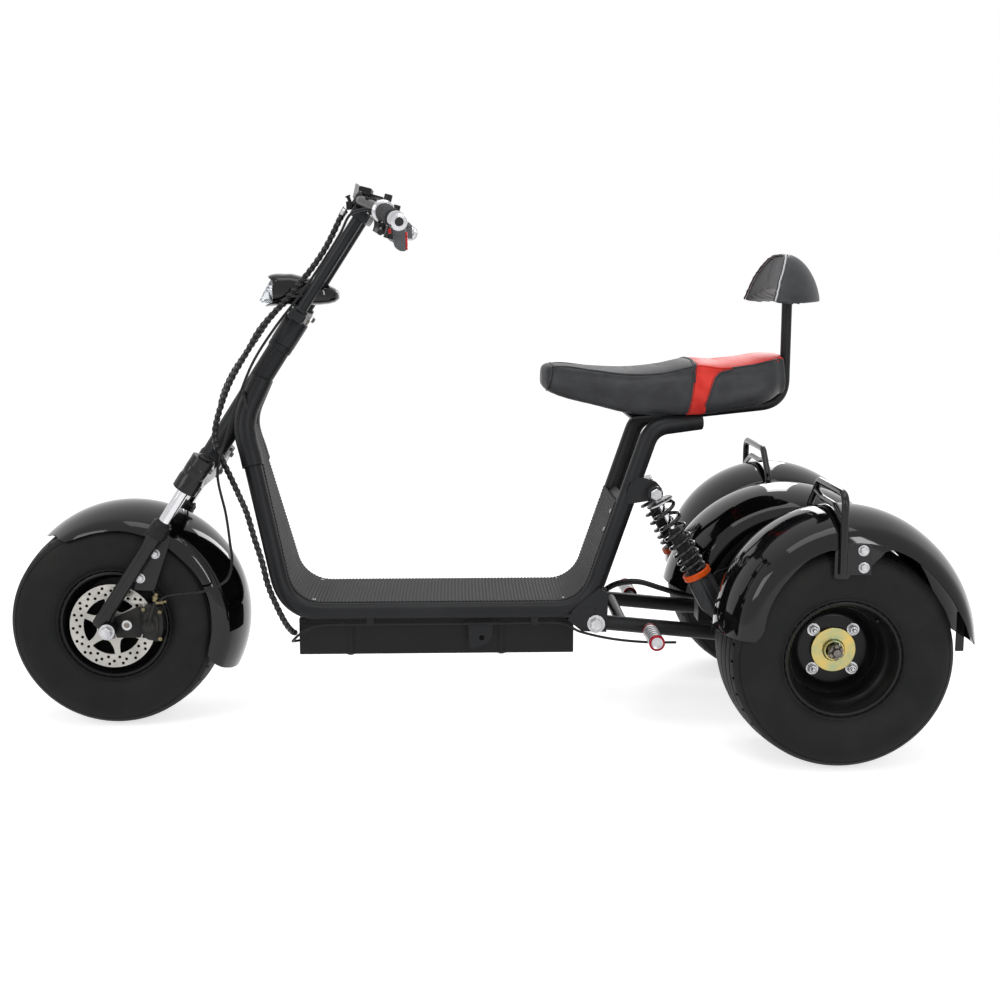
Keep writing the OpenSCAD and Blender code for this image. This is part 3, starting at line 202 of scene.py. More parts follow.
def finish_of(name, color, second, roughness, spread=0.1, grain=900, height=0.00002, patch=9,
              edge=None, radius=0.0008, wear=0.3, metallic=0, coat=0, shine=0.2):
    """A material on the worn surface group."""
    look, tree = new_look(name)
    edge = edge or [c * 1.6 + 0.02 for c in second]
    surface = node_of(tree, "Group", {
        "Color": (*color, 1), "Second Color": (*second, 1), "Edge Color": (*edge, 1),
        "Patch Scale": patch, "Roughness": roughness - spread / 2, "Roughness Spread": spread,
        "Grain Scale": grain, "Grain Height": height, "Edge Radius": radius, "Edge Wear": wear,
    }, node_tree=worn_surface).outputs
    fill(tree, tree.nodes["Principled BSDF"], {
        "Metallic": metallic, "Coat Weight": coat, "Specular IOR Level": shine,
        "Base Color": surface["Color"], "Roughness": surface["Roughness"],
        "Normal": surface["Normal"],
    })
    return look


def dress(look, *names):
    """Gives CAD nodes, or pieces, one finish."""
    for name in names:
        made = nodes[name] if isinstance(name, str) else name
        made.data.materials.clear()
        made.data.materials.append(look)


def aim(at, axis):
    """A place whose own Z lies along axis."""
    return Matrix.Translation(Vector(at)) @ Vector(axis).to_track_quat("Z", "Y").to_matrix().to_4x4()


def lathe(bm, profile, steps, place, closed=False):
    """Turns a profile of (radius, height) once round place's Z. A closed profile makes a ring."""
    made = [bm.verts.new((radius, 0, height)) for radius, height in profile]
    edges = [bm.edges.new(pair) for pair in zip(made, made[1:])]
    if closed:
        edges.append(bm.edges.new((made[-1], made[0])))
    old = set(bm.verts) - set(made)
    bmesh.ops.spin(bm, geom=made + edges, cent=(0, 0, 0), axis=(0, 0, 1), dvec=(0, 0, 0),
                   angle=2 * math.pi, steps=steps, use_merge=True, use_duplicate=False)
    new = [v for v in bm.verts if v not in old]
    bmesh.ops.remove_doubles(bm, verts=new, dist=1e-6)
    new = [v for v in bm.verts if v not in old]
    bmesh.ops.transform(bm, matrix=place, verts=new)
    faces = list({f for v in new for f in v.link_faces})
    bmesh.ops.recalc_face_normals(bm, faces=faces)
    return new


def smooth(made, angle=35):
    """Smooth shading, with edges sharper than angle kept."""
    made.data.shade_smooth()
    limit = math.radians(angle)
    bm = bmesh.new()
    bm.from_mesh(made.data)
    for e in bm.edges:
        e.smooth = len(e.link_faces) == 2 and e.calc_face_angle(0) < limit
    bm.to_mesh(made.data)
    bm.free()
    return made


frame_paint = finish_of("frame_paint", (0.010, 0.0105, 0.012), (0.017, 0.0175, 0.019), 0.42,
                        spread=0.14, grain=1400, height=0.00003, patch=7, radius=0.0015)


steer_rake = math.radians(33.2)
stem_x, stem_z = -0.3612, 0.8655


def at_steer(back, y, up):
    """A point from the top of the stem head: up along the steering axis, back square to it."""
    return Vector((stem_x + back * math.cos(steer_rake) + up * math.sin(steer_rake), y,
                   stem_z - back * math.sin(steer_rake) + up * math.cos(steer_rake)))


def rounded(points, bends, steps=10):
    """Path through corner points, each corner rounded to its bend radius."""
    points = [Vector(p) for p in points]
    path = [points[0]]
    for before, p, after, bend in zip(points, points[1:], points[2:], bends[1:]):
        back = (before - p).normalized()
        on = (after - p).normalized()
        cut = bend / math.tan(back.angle(on) / 2)
        for k in range(steps + 1):
            t = k / steps
            a, b = p + back * cut, p + on * cut
            path.append(a * (1 - t) ** 2 + p * 2 * t * (1 - t) * 0.97 + b * t ** 2
                        + (a + b) * t * (1 - t) * 0.03)
    return path + [points[-1]]


def tube(bm, path, radius, sides=24):
    """Round tube swept along a path. The radius is one number, or one for each point."""
    path = [Vector(p) for p in path]
    radii = radius if isinstance(radius, list) else [radius] * len(path)
    across = None
    rings = []
    for i, p in enumerate(path):
        on = path[min(i + 1, len(path) - 1)] - path[max(i - 1, 0)]
        on.normalize()
        if across is None:
            across = on.orthogonal()
        across = (across - on * across.dot(on)).normalized()
        up = on.cross(across)
        rings.append([p + radii[i] * (across * math.cos(2 * math.pi * k / sides)
                                      + up * math.sin(2 * math.pi * k / sides)) for k in range(sides)])
    loft(bm, rings)


def loft(bm, rings):
    """Joins rings of points into a closed body."""
    loops = []
    for ring in rings:
        loop = [bm.verts.new(p) for p in ring]
        loops.append([bm.edges.new((loop[i - 1], loop[i])) for i in range(len(loop))])
    faces = []
    for a, b in zip(loops, loops[1:]):
        faces += bmesh.ops.bridge_loops(bm, edges=a + b)["faces"]
    for loop in (loops[0], loops[-1]):
        faces += bmesh.ops.contextual_create(bm, geom=loop)["faces"]
    bmesh.ops.recalc_face_normals(bm, faces=faces)


def flipped(points):
    return [Vector((p[0], -p[1], p[2])) for p in points]


def part_of(name, bm, look, body, node=None, angle=35):
    """Finishes a piece: smooth shading, its material, its body and what it replaces."""
    made = smooth(mesh_from(bm, name), angle)
    dress(look, made)
    if body:
        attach(made, body)
    if node:
        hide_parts(node)
    return made


tube_r = 0.019
neck_r = 0.0232
tube_y = 0.114
tube_bend = 0.095
front_low = Vector((-0.384, -tube_y, 0.255))
rear_low = Vector((0.252, -tube_y, front_low.z))
rear_top = Vector((0.385, -tube_y, 0.645))
neck_low = at_steer(0.068, -0.044, -0.2899)
neck_end = neck_low + (front_low - neck_low).normalized() * 0.028
side_corners = [neck_end, front_low, rear_low, rear_top, (0.4904, -0.090, 0.6561)]
side_bends = [0, tube_bend, tube_bend, 0.05, 0]
neck_corners = [at_steer(0.003, -0.008, -0.1471), at_steer(0.017, -0.028, -0.2461), neck_low, neck_end]
for name, turn in (("left", list), ("right", flipped)):
    bm = bmesh.new()
    tube(bm, turn(rounded(side_corners, side_bends, 14)), tube_r, 40)
    part_of("side_tube_" + name, bm, frame_paint, "frame", "frame_tube_" + name)

# the neck: two stout sleeves that run into the head tube, with weld beads where they end
bm = bmesh.new()
head_low, head_high = -0.361, -0.061
head_long = head_high - head_low
steer_axis = (at_steer(0, 0, 1) - at_steer(0, 0, 0)).normalized()
lathe(bm, [(0.018, 0), (0.0262, 0), (0.0268, 0.001), (0.0268, 0.015), (0.0255, 0.0175),
           (0.024, 0.018), (0.024, head_long - 0.0145), (0.0252, head_long - 0.014),
           (0.0262, head_long - 0.0125), (0.0262, head_long - 0.001), (0.0255, head_long),
           (0.018, head_long)], 64, aim(at_steer(0, 0, head_low), steer_axis), closed=True)
for turn in (list, flipped):
    tube(bm, turn(rounded(neck_corners, [0, 0.12, 0.12, 0], 12)), neck_r, 40)
part_of("neck", bm, frame_paint, "frame", "head_tube")


def bead(bm, at, axis, radius, thick=0.0014):
    """Weld bead round a tube."""
    lathe(bm, [(radius + thick * math.cos(math.radians(a)), thick * math.sin(math.radians(a)))
               for a in range(0, 360, 45)], 48, aim(at, axis), closed=True)


bm = bmesh.new()
for turn in (list, flipped):
    low, end = turn([neck_low, neck_end])
    bead(bm, end, end - low, neck_r - 0.0012, 0.0018)
bead(bm, at_steer(0, 0, head_low + 0.0185), steer_axis, 0.0240)
part_of("neck_welds", bm, frame_paint, "frame")

# bolts of the frame: pivots of the swing arm and tops of the shocks
bright_steel = finish_of("bright_steel", (0.50, 0.50, 0.51), (0.36, 0.36, 0.38), 0.26, spread=0.16,
                         grain=1200, height=0.00002, patch=60, metallic=1)


def soften(bm, edges, offset, segments=3):
    """Bevels edges."""
    bmesh.ops.bevel(bm, geom=edges, offset=offset, offset_type="OFFSET", segments=segments,
                    profile=0.5, affect="EDGES", material=-1)


def bolt(bm, at, axis, across, washer=True, stub=0.0):
    """Hexagon head, or a nut with a thread end of length stub, standing on a flat washer."""
    place = aim(at, axis)
    base = 0.0
    if washer:
        radius = across * 0.82
        base = across * 0.11
        lathe(bm, [(0, 0), (radius, 0), (radius, base * 0.7), (radius * 0.95, base), (0, base)],
              28, place)
    tall = across * 0.5
    old = set(bm.verts)
    bmesh.ops.create_cone(bm, cap_ends=True, segments=6, radius1=across / 1.732,
                          radius2=across / 1.732, depth=tall,
                          matrix=Matrix.Translation((0, 0, base + tall / 2)))
    new = [v for v in bm.verts if v not in old]
    top = [e for e in {e for v in new for e in v.link_edges}
           if all(v.co.z > base + tall * 0.9 for v in e.verts)]
    soften(bm, top, across * 0.07, 1)
    new = [v for v in bm.verts if v not in old]
    bmesh.ops.transform(bm, matrix=place, verts=new)
    if stub:
        r = across * 0.27
        end = base + tall + stub
        lathe(bm, [(0, base + tall * 0.5), (r, base + tall * 0.5), (r, end - r * 0.3),
                   (r * 0.7, end), (0, end)], 20, place)


pivot = Vector((0.270, 0, 0.230))
shock_top = Vector((0.389, 0, 0.511))
bm = bmesh.new()
for side in (-1, 1):
    bolt(bm, pivot + Vector((0, side * 0.1392, 0)), (0, side, 0), 0.0235)
    bolt(bm, shock_top + Vector((0, side * 0.1612, 0)), (0, side, 0), 0.0225, washer=False)
part_of("frame_bolts", bm, bright_steel, "frame", angle=25)

# Floor mat
# Ribbed rubber sheet over the deck tubes, dark grey, which climbs the front tubes to a narrow end
# and the uprights to a plate, and is held by small bright screws.
mat_r = 0.0754
mat_thick = 0.0034
mat_half = 0.1125
mat_front_rise = 0.395
mat_rear_rise = 0.172
rib_pitch = 0.0075
down = math.radians(270)
front_dir = (front_low - neck_end).xz.normalized()
rear_dir = (rear_top - rear_low).xz.normalized()
front_turn = math.acos(front_dir.x)
rear_turn = math.acos(rear_dir.x)
bend_z = front_low.z + tube_bend
front_mid = Vector((front_low.x + tube_bend * math.tan(front_turn / 2), bend_z))
rear_mid = Vector((rear_low.x - tube_bend * math.tan(rear_turn / 2), bend_z))


def round_mat(a):
    """Direction from the middle of a bend."""
    return Vector((math.cos(a), math.sin(a)))


def mat_path(step):
    """Points along the mat seen from the side, each with the direction that faces the rider."""
    made = []
    for middle, start, end, before, after in (
        (front_mid, down - front_turn, down, mat_front_rise, 0),
        (rear_mid, down, down + rear_turn, 0, mat_rear_rise),
    ):
        first = middle + mat_r * round_mat(start)
        inward = (middle - first).normalized()
        if before:
            count = round(before / step)
            made += [(first - front_dir * (before * (1 - k / count)), inward) for k in range(count)]
        count = round(mat_r * (end - start) / step)
        for k in range(count + 1):
            out = round_mat(start + (end - start) * k / count)
            made.append((middle + mat_r * out, -out))
        last, inward = made[-1]
        if after:
            count = round(after / step)
            made += [(last + rear_dir * after * (k + 1) / count, inward) for k in range(count)]
        else:
            run = rear_mid.x - front_mid.x
            count = round(run / step)
            made += [(last + Vector((run * (k + 1) / count, 0)), inward) for k in range(count - 1)]
    return made


bm = bmesh.new()
half_step = rib_pitch / 2
narrow = 0.045
low_z, top_z = 0.279, neck_end.z
outline = []
for k, (p, inward) in enumerate(mat_path(half_step)):
    share = min(1, max(0, (p.y - low_z) / (top_z - low_z))) if p.x < -0.2 else 0
    half = mat_half + (narrow - mat_half) * share
    rise = 0.0022 if k % 2 else 0.0006
    outline.append((p + inward * rise, p - inward * mat_thick, half))
verts = []
for over, under, half in outline:
    row = [bm.verts.new((over.x, y, over.y)) for y in (-half, -half * 0.5, 0, half * 0.5, half)]
    row += [bm.verts.new((under.x, y, under.y)) for y in (half, -half)]
    verts.append([bm.edges.new((row[i - 1], row[i])) for i in range(len(row))])
mat_faces = []
for a, b in zip(verts, verts[1:]):
    mat_faces += bmesh.ops.bridge_loops(bm, edges=a + b)["faces"]
for loop in (verts[0], verts[-1]):
    mat_faces += bmesh.ops.contextual_create(bm, geom=loop)["faces"]
bmesh.ops.recalc_face_normals(bm, faces=mat_faces)
mat_rubber = finish_of("mat_rubber", (0.026, 0.0265, 0.0265), (0.040, 0.040, 0.039), 0.66,
                       spread=0.2, grain=700, height=0.00008, patch=11, radius=0.0005)
part_of("floor_mat_ribs", bm, mat_rubber, "frame", "floor_mat", angle=20)

# plate that closes the mat's top between the uprights


def cuboid(bm, place, low, high):
    """Box between two corners, in the axes of a place. Gives its edges."""
    low, high = Vector(low), Vector(high)
    old = set(bm.verts)
    bmesh.ops.create_cube(bm, size=1, matrix=place @ Matrix.Translation((low + high) / 2) @
                          Matrix.Diagonal((*(high - low), 1)))
    return [e for e in bm.edges if e.verts[0] not in old]


def block(bm, place, low, high, edge=0.002, segments=3):
    """Box with bevelled edges."""
    soften(bm, cuboid(bm, place, low, high), edge, segments)


bm = bmesh.new()
end, inward = mat_path(half_step)[-1]
plate = Matrix.Translation((end.x + 0.012, 0, end.y - 0.006))
plate @= Matrix.Rotation(math.atan2(-rear_dir.y, rear_dir.x) + 0.5, 4, "Y")
block(bm, plate, (-0.015, -0.096, -0.0015), (0.015, 0.096, 0.0015), 0.0008, 2)
part_of("mat_plate", bm, frame_paint, "frame")


def dome_screw(bm, at, axis, radius=0.0055):
    """Low domed screw head with a cross slot."""
    place = aim(at, axis)
    lathe(bm, [(0, -0.001), (radius, -0.001), (radius, 0.0006), (radius * 0.82, radius * 0.34),
               (radius * 0.5, radius * 0.46), (radius * 0.32, radius * 0.47), (radius * 0.26, 0.0004),
               (0, 0.0003)], 24, place)


mat_screw_r = 0.0048
bm = bmesh.new()
for x in (-0.352, -0.330, 0.205, 0.222):
    for side in (-1, 1):
        dome_screw(bm, (x, side * 0.098, 0.2773), (0, 0, 1), mat_screw_r)
for share in (0.62, 0.86):
    point = rear_mid + mat_r * round_mat(down + rear_turn) + rear_dir * mat_rear_rise * share
    facing = Vector((-rear_dir.y, 0, rear_dir.x))
    for side in (-1, 1):
        at = Vector((point.x, side * 0.101, point.y)) + facing * 0.0014
        dome_screw(bm, at, facing, mat_screw_r)
part_of("mat_screws", bm, bright_steel, "frame", angle=30)

# Battery box
# Long sheet steel box slung under the deck in satin black, with a lid seam, and two wide straps
# that wrap it and end in rivets. The side stand's bracket hangs in front of it.
box_from, box_to = -0.362, 0.226
box_half, box_top, box_low = 0.094, 0.2357, 0.1557
box_mid = (box_from + box_to) / 2
upright = Matrix.Identity(4)
bm = bmesh.new()
block(bm, upright, (box_from, -box_half, box_low), (box_to, box_half, box_top), 0.0022)
for z in (box_top - 0.0125, box_top - 0.0110):
    bmesh.ops.bisect_plane(bm, geom=bm.verts[:] + bm.edges[:] + bm.faces[:], dist=1e-6,
                           plane_co=(0, 0, z), plane_no=(0, 0, 1))
seam = [f for f in bm.faces
        if box_top - 0.0126 < f.calc_center_median().z < box_top - 0.0109 and abs(f.normal.z) < 0.5]
inner = bmesh.ops.extrude_face_region(bm, geom=seam)["geom"]
for v in {v for v in inner if isinstance(v, bmesh.types.BMVert)}:
    v.co.x -= math.copysign(0.0009, v.co.x - box_mid) * (abs(v.co.x - box_mid) > box_to - box_mid - 0.003)
    v.co.y -= math.copysign(0.0009, v.co.y) * (abs(v.co.y) > box_half - 0.003)
bmesh.ops.delete(bm, geom=seam, context="FACES")
bmesh.ops.recalc_face_normals(bm, faces=bm.faces)
case_paint = finish_of("case_paint", (0.0055, 0.0055, 0.006), (0.010, 0.010, 0.0105), 0.48,
                       spread=0.16, grain=1200, height=0.00005, patch=6, radius=0.001)
part_of("battery_case", bm, case_paint, "frame", "battery_box", angle=30)

strap_half = 0.009
bm = bmesh.new()
for x in (-0.2532, 0.0708):
    loops = []
    for offset in (-strap_half, -0.0055, -0.0045, 0.0045, 0.0055, strap_half):
        raised = 0.0013 if abs(offset) > 0.005 else 0.0024
        out, low, cut = box_half + raised, box_low - raised, 0.005
        shape = [(-out, box_top - 0.002), (-out, low + cut), (-out + cut, low), (out - cut, low),
                 (out, low + cut), (out, box_top - 0.002), (box_half - 0.0015, box_top - 0.002),
                 (box_half - 0.0015, box_low + 0.0015), (-box_half + 0.0015, box_low + 0.0015),
                 (-box_half + 0.0015, box_top - 0.002)]
        loops.append([Vector((x + offset, y, z)) for y, z in shape])
    loft(bm, loops)
part_of("battery_bands", bm, case_paint, "frame", "battery_straps", angle=20)

bm = bmesh.new()
for x in (box_from + 0.018, -0.29, -0.2, -0.1, 0.02, 0.12, box_to - 0.018):
    for side in (-1, 1):
        dome_screw(bm, (x, side * box_half, box_top - 0.0062), (0, side, 0), 0.0030)
part_of("battery_screws", bm, case_paint, "frame")

# Swing arm and foot pegs
# Two painted tubes behind the frame's pivots with a cross tube. A foot peg stands out of each:
# a bright ribbed rubber-and-alloy sleeve between two red rings, with a plain dished end.
arm_slope = -0.1017
peg_y = 0.1343
peg_paint = finish_of("peg_alloy", (0.55, 0.55, 0.56), (0.40, 0.40, 0.42), 0.3, spread=0.18,
                      grain=900, height=0.00003, patch=50, metallic=0.85)
red_anodized = finish_of("red_anodized", (0.30, 0.006, 0.018), (0.20, 0.004, 0.012), 0.28,
                         spread=0.14, grain=900, height=0.00002, patch=40, metallic=0.6)
peg_rubber = finish_of("peg_rubber", (0.014, 0.014, 0.014), (0.022, 0.022, 0.022), 0.6,
                       spread=0.2, grain=800, height=0.00005, patch=40)
for side in (-1, 1):
    at = pivot + Vector((0.111, side * peg_y, arm_slope * 0.111 + 0.003))
    place = aim(at, (0, side, 0))
    bm = bmesh.new()
    core = [(0, 0), (0.0095, 0), (0.0095, 0.030), (0.0128, 0.034), (0.0128, 0.126), (0, 0.126)]
    lathe(bm, core, 40, place)
    part_of("peg_core_%d" % (side + 1), bm, peg_rubber, "frame")
    bm = bmesh.new()
    for k in range(6):
        z = 0.0415 + 0.0145 * k
        lathe(bm, [(0.0118, z), (0.0150, z), (0.0157, z + 0.0008), (0.0157, z + 0.0070),
                   (0.0150, z + 0.0078), (0.0118, z + 0.0078)], 40, place, closed=True)
    # plain dished face at the outer end
    lathe(bm, [(0, 0.1345), (0.0110, 0.1348), (0.0122, 0.1356), (0.0122, 0.1300), (0, 0.1300)], 40,
          place)
    part_of("peg_ribs_%d" % (side + 1), bm, peg_paint, "frame", side < 0 and "footpegs")
    bm = bmesh.new()
    for z, deep in ((0.0335, 0.006), (0.1265, 0.0095)):
        lathe(bm, [(0.0120, z), (0.0156, z), (0.0163, z + 0.0008), (0.0163, z + deep - 0.0008),
                   (0.0156, z + deep), (0.0120, z + deep)], 40, place, closed=True)
    part_of("peg_rings_%d" % (side + 1), bm, red_anodized, "frame")

# Shocks
# Coil-over shocks: gloss black springs whose coils close up downwards round a chrome rod, a bright
# washer above, an orange ring below, and a dark fluted body that narrows to its lower eye.
shock_foot = Vector((0.546, 0, 0.2170))
shock_y = 0.1483
shock_line = (shock_foot - shock_top).normalized()
shock_long = (shock_foot - shock_top).length
chrome = finish_of("chrome", (0.66, 0.66, 0.68), (0.58, 0.58, 0.60), 0.07, spread=0.05, grain=500,
                   height=0.000006, patch=30, metallic=1, wear=0)
spring_black = finish_of("spring_black", (0.004, 0.004, 0.005), (0.008, 0.008, 0.009), 0.16,
                         spread=0.1, grain=600, height=0.00003, patch=40, coat=0.4)
orange_paint = finish_of("orange_paint", (0.88, 0.115, 0.008), (0.74, 0.080, 0.006), 0.34,
                         spread=0.12, grain=900, height=0.00003, patch=40)
body_metal = finish_of("shock_body", (0.028, 0.029, 0.031), (0.042, 0.043, 0.045), 0.38, spread=0.14,
                       grain=1300, height=0.00005, patch=30, metallic=0.3)
for side, name in ((-1, "left"), (1, "right")):
    place = aim(shock_top + Vector((0, side * shock_y, 0)), shock_line)
    bm = bmesh.new()
    for z, r in ((0, 0.0155), (shock_long, 0.0135)):
        eye = aim(shock_top + shock_line * z + Vector((0, side * shock_y, 0)), (0, 1, 0))
        lathe(bm, [(0.0053, -0.0128), (0.0080, -0.0128), (0.0080, -0.0112), (r - 0.001, -0.0112),
                   (r, -0.0102), (r, 0.0102), (r - 0.001, 0.0112), (0.0080, 0.0112),
                   (0.0080, 0.0128), (0.0053, 0.0128)], 40, eye, closed=True)
    # threaded sleeve inside the lower coils
    thread = []
    for k in range(34):
        z = 0.104 + 0.0025 * k
        thread += [(0.0150, z), (0.0160, z + 0.00125)]
    lathe(bm, [(0, 0.098), (0.0130, 0.098)] + thread + [(0.0150, 0.190), (0, 0.190)], 40, place)
    lathe(bm, [(0, 0.084), (0.0095, 0.084), (0.0125, 0.088), (0.0125, 0.097), (0.0105, 0.100),
               (0, 0.100)], 32, place)
    part_of("shock_core_" + name, bm, body_metal, "frame")

    bm = bmesh.new()
    base = [(0, 0.186), (0.0250, 0.186), (0.0250, 0.205), (0.0274, 0.209), (0.0274, 0.262),
            (0.0256, 0.270), (0.0150, 0.292), (0.0118, 0.306), (0.0118, 0.318), (0, 0.318)]
    new = lathe(bm, base, 96, place)
    back = place.inverted()
    for v in new:
        p = back @ v.co
        if 0.208 < p.z < 0.268:
            turn = math.atan2(p.y, p.x)
            dip = 0.0012 * max(0, math.cos(turn * 12)) ** 2
            flat = Vector((p.x, p.y, 0)).normalized() * dip
            v.co = place @ (p - flat)
    part_of("shock_body_" + name, bm, body_metal, "frame",
            side < 0 and "shock_dampers")

    bm = bmesh.new()
    lathe(bm, [(0, 0.0185), (0.0270, 0.0185), (0.0292, 0.0200), (0.0292, 0.0222), (0.0282, 0.0232),
               (0, 0.0232)], 56, place)
    lathe(bm, [(0, 0.009), (0.0088, 0.009), (0.0088, 0.019), (0, 0.019)], 6, place)
    part_of("shock_washer_" + name, bm, bright_steel, "frame")

    bm = bmesh.new()
    lathe(bm, [(0, 0.020), (0.0060, 0.020), (0.0060, 0.102), (0, 0.102)], 32, place)
    part_of("shock_rod_" + name, bm, chrome, "frame")

    # coils: seven turns and a half, wide apart above and close below
    turns, per_turn = 7.5, 40
    wire = 0.0040
    path = []
    for k in range(int(turns * per_turn) + 1):
        t = k / (turns * per_turn)
        z = 0.0275 + 0.1552 * (1.42 * t - 0.42 * t * t)
        r = 0.0248 - 0.0014 * t
        a = 2 * math.pi * k / per_turn
        path.append(place @ Vector((r * math.cos(a), r * math.sin(a), z)))
    bm = bmesh.new()
    tube(bm, path, wire, 14)
    part_of("shock_spring_" + name, bm, spring_black, "frame",
            side < 0 and "shock_springs")

    bm = bmesh.new()
    lathe(bm, [(0.0230, 0.1872), (0.0290, 0.1872), (0.0303, 0.1885), (0.0303, 0.1985),
               (0.0290, 0.2000), (0.0230, 0.2000)], 64, place, closed=True)
    part_of("shock_ring_" + name, bm, orange_paint, "frame",
            side < 0 and "shock_collars")

# Motor, axle and rear brake
# A plain finned motor case in dark grey ahead of the axle tube, bolted to a box shaped reduction
# case, with a small black caliper ahead of it.
motor_metal = finish_of("motor_metal", (0.020, 0.021, 0.022), (0.034, 0.034, 0.035), 0.5,
                        spread=0.2, grain=600, height=0.0001, patch=18, metallic=0.35, radius=0.002)
dress(motor_metal, "motor")
bm = bmesh.new()
motor_at = Vector((0.602, 0, 0.235))
for k in range(9):
    y = -0.064 + 0.016 * k
    lathe(bm, [(0.0660, y - 0.0018), (0.0715, y - 0.0014), (0.0715, y + 0.0014),
               (0.0660, y + 0.0018)], 64, aim(motor_at, (0, 1, 0)), closed=True)
for side in (-1, 1):
    lathe(bm, [(0, side * 0.084), (0.0560, side * 0.084), (0.0600, side * 0.0875), (0, side * 0.0895)],
          64, aim(motor_at, (0, 1, 0)))
part_of("motor_fins", bm, motor_metal, "frame")
bm = bmesh.new()
for side in (-1, 1):
    for k in range(6):
        a = math.radians(60 * k + 30)
        bolt(bm, motor_at + Vector((0.047 * math.cos(a), side * 0.0875, 0.047 * math.sin(a))),
             (0, side, 0), 0.0100)
part_of("motor_bolts", bm, bright_steel, "frame", angle=25)
# Tyres
# Fat low-pressure tyres with a smooth side wall, a rim guard, a stepped shoulder with short slots
# and four grooves round the tread.
front_hub = Vector((-0.754, 0, 0.225))
hub_height = front_hub.z
rear_hub_x = 0.722
rear_hub_y = 0.32
tyre_steps = 240
slot_every = 6
half_tyre = [
    (0.1104, 0.0780), (0.1104, 0.0866), (0.1146, 0.0882), (0.1160, 0.0925), (0.1180, 0.0958),
    (0.1200, 0.0966), (0.1214, 0.0960), (0.1232, 0.0982), (0.1350, 0.1046), (0.1480, 0.1084),
    (0.1600, 0.1103), (0.1720, 0.1108), (0.1830, 0.1100), (0.1920, 0.1080), (0.1990, 0.1052),
    (0.2030, 0.1028), (0.2038, 0.1012), (0.2046, 0.1010), (0.2054, 0.1018), (0.2085, 0.0992),
    (0.2120, 0.0955), (0.2145, 0.0915), (0.2158, 0.0880), (0.2170, 0.0800), (0.2179, 0.0745),
    (0.2130, 0.0735), (0.2130, 0.0705), (0.2188, 0.0695), (0.2206, 0.0570), (0.2212, 0.0500),
    (0.2165, 0.0490), (0.2165, 0.0460), (0.2218, 0.0450), (0.2234, 0.0330), (0.2240, 0.0230),
    (0.2190, 0.0220), (0.2190, 0.0190), (0.2242, 0.0180), (0.2248, 0.0080),
]
slot_deep = 0.004
tyre_rubber = finish_of("tyre_rubber", (0.0075, 0.0078, 0.0085), (0.0155, 0.015, 0.0145), 0.58,
                        spread=0.2, grain=500, height=0.00008, patch=14, radius=0.001, shine=0.16)
rest = [(radius, -y) for radius, y in reversed(half_tyre)]
for name, body, node, hub in (
    ("front", "front_wheel", "front_tyre", front_hub),
    ("rear_left", "rear_wheel_left", "rear_tyre_left", Vector((rear_hub_x, -rear_hub_y, hub_height))),
    ("rear_right", "rear_wheel_right", "rear_tyre_right", Vector((rear_hub_x, rear_hub_y, hub_height))),
):
    bm = bmesh.new()
    place = aim(hub, (0, 1, 0))
    lathe(bm, half_tyre + rest, tyre_steps, place, closed=True)
    slots = []
    for f in bm.faces:
        middle = f.calc_center_median() - hub
        turn = math.atan2(middle.z, middle.x) / (2 * math.pi) * tyre_steps
        if 0.081 < abs(middle.y) < 0.0925 and int(round(turn - 0.5)) % slot_every == 0:
            slots.append(f)
    cut = bmesh.ops.extrude_discrete_faces(bm, faces=slots)["faces"]
    for f in cut:
        middle = f.calc_center_median() - hub
        inward = Vector((-middle.x, 0, -middle.z)).normalized() * slot_deep
        bmesh.ops.translate(bm, vec=inward, verts=f.verts)
    part_of("tyre_" + name, bm, tyre_rubber, body, node, 30)

# Rims
# Pressed steel rims in satin black with rolled lips, bead seats and a drop centre. The rear discs
# stand deep in the barrel behind a hat with a rounded edge.
rim_steps = 96
bead_to_drop = [
    (0.1146, 0.0905), (0.1142, 0.0928), (0.1122, 0.0938), (0.1090, 0.0932), (0.1068, 0.0908),
    (0.1060, 0.0872), (0.1054, 0.0640), (0.1038, 0.0598), (0.0962, 0.0520), (0.0926, 0.0478),
    (0.0920, 0.0420),
]
drop_to_bead = [
    (0.0950, 0.0440), (0.0954, 0.0480), (0.0986, 0.0512), (0.1066, 0.0590), (0.1090, 0.0640),
    (0.1100, 0.0866), (0.1110, 0.0884), (0.1146, 0.0886),
]
hat = [
    (0.0930, 0.0020), (0.0860, 0.0030), (0.0790, 0.0052), (0.0735, 0.0090), (0.0700, 0.0114),
    (0.0660, 0.0120), (0.0245, 0.0120), (0.0245, 0.0040), (0.0660, 0.0040), (0.0715, 0.0015),
    (0.0790, -0.0030), (0.0860, -0.0052), (0.0930, -0.0062),
]


def barrel(bm, place):
    """Rim ring: inner side from lip to lip, then back along the tyre's side."""
    inner = bead_to_drop + [(r, -z) for r, z in reversed(bead_to_drop)]
    outer = [(r, -z) for r, z in reversed(drop_to_bead)]
    lathe(bm, inner + outer + drop_to_bead, rim_steps, place, closed=True)


rim_paint = finish_of("rim_paint", (0.006, 0.006, 0.007), (0.011, 0.011, 0.012), 0.3,
                      spread=0.12, grain=1100, height=0.00003, patch=16)
for side, body in ((-1, "rear_wheel_left"), (1, "rear_wheel_right")):
    bm = bmesh.new()
    place = aim((rear_hub_x, side * rear_hub_y, hub_height), (0, side, 0))
    barrel(bm, place)
    lathe(bm, hat, rim_steps, place, closed=True)
    # tyre valve on the barrel's outer shoulder
    lathe(bm, [(0, 0), (0.0042, 0), (0.0042, 0.012), (0.0028, 0.014), (0.0028, 0.024), (0, 0.024)],
          20, place @ Matrix.Translation((0.070, 0.070, 0.046)), closed=False)
    part_of("rim_" + body, bm, rim_paint, body, body.replace("wheel", "rim"))

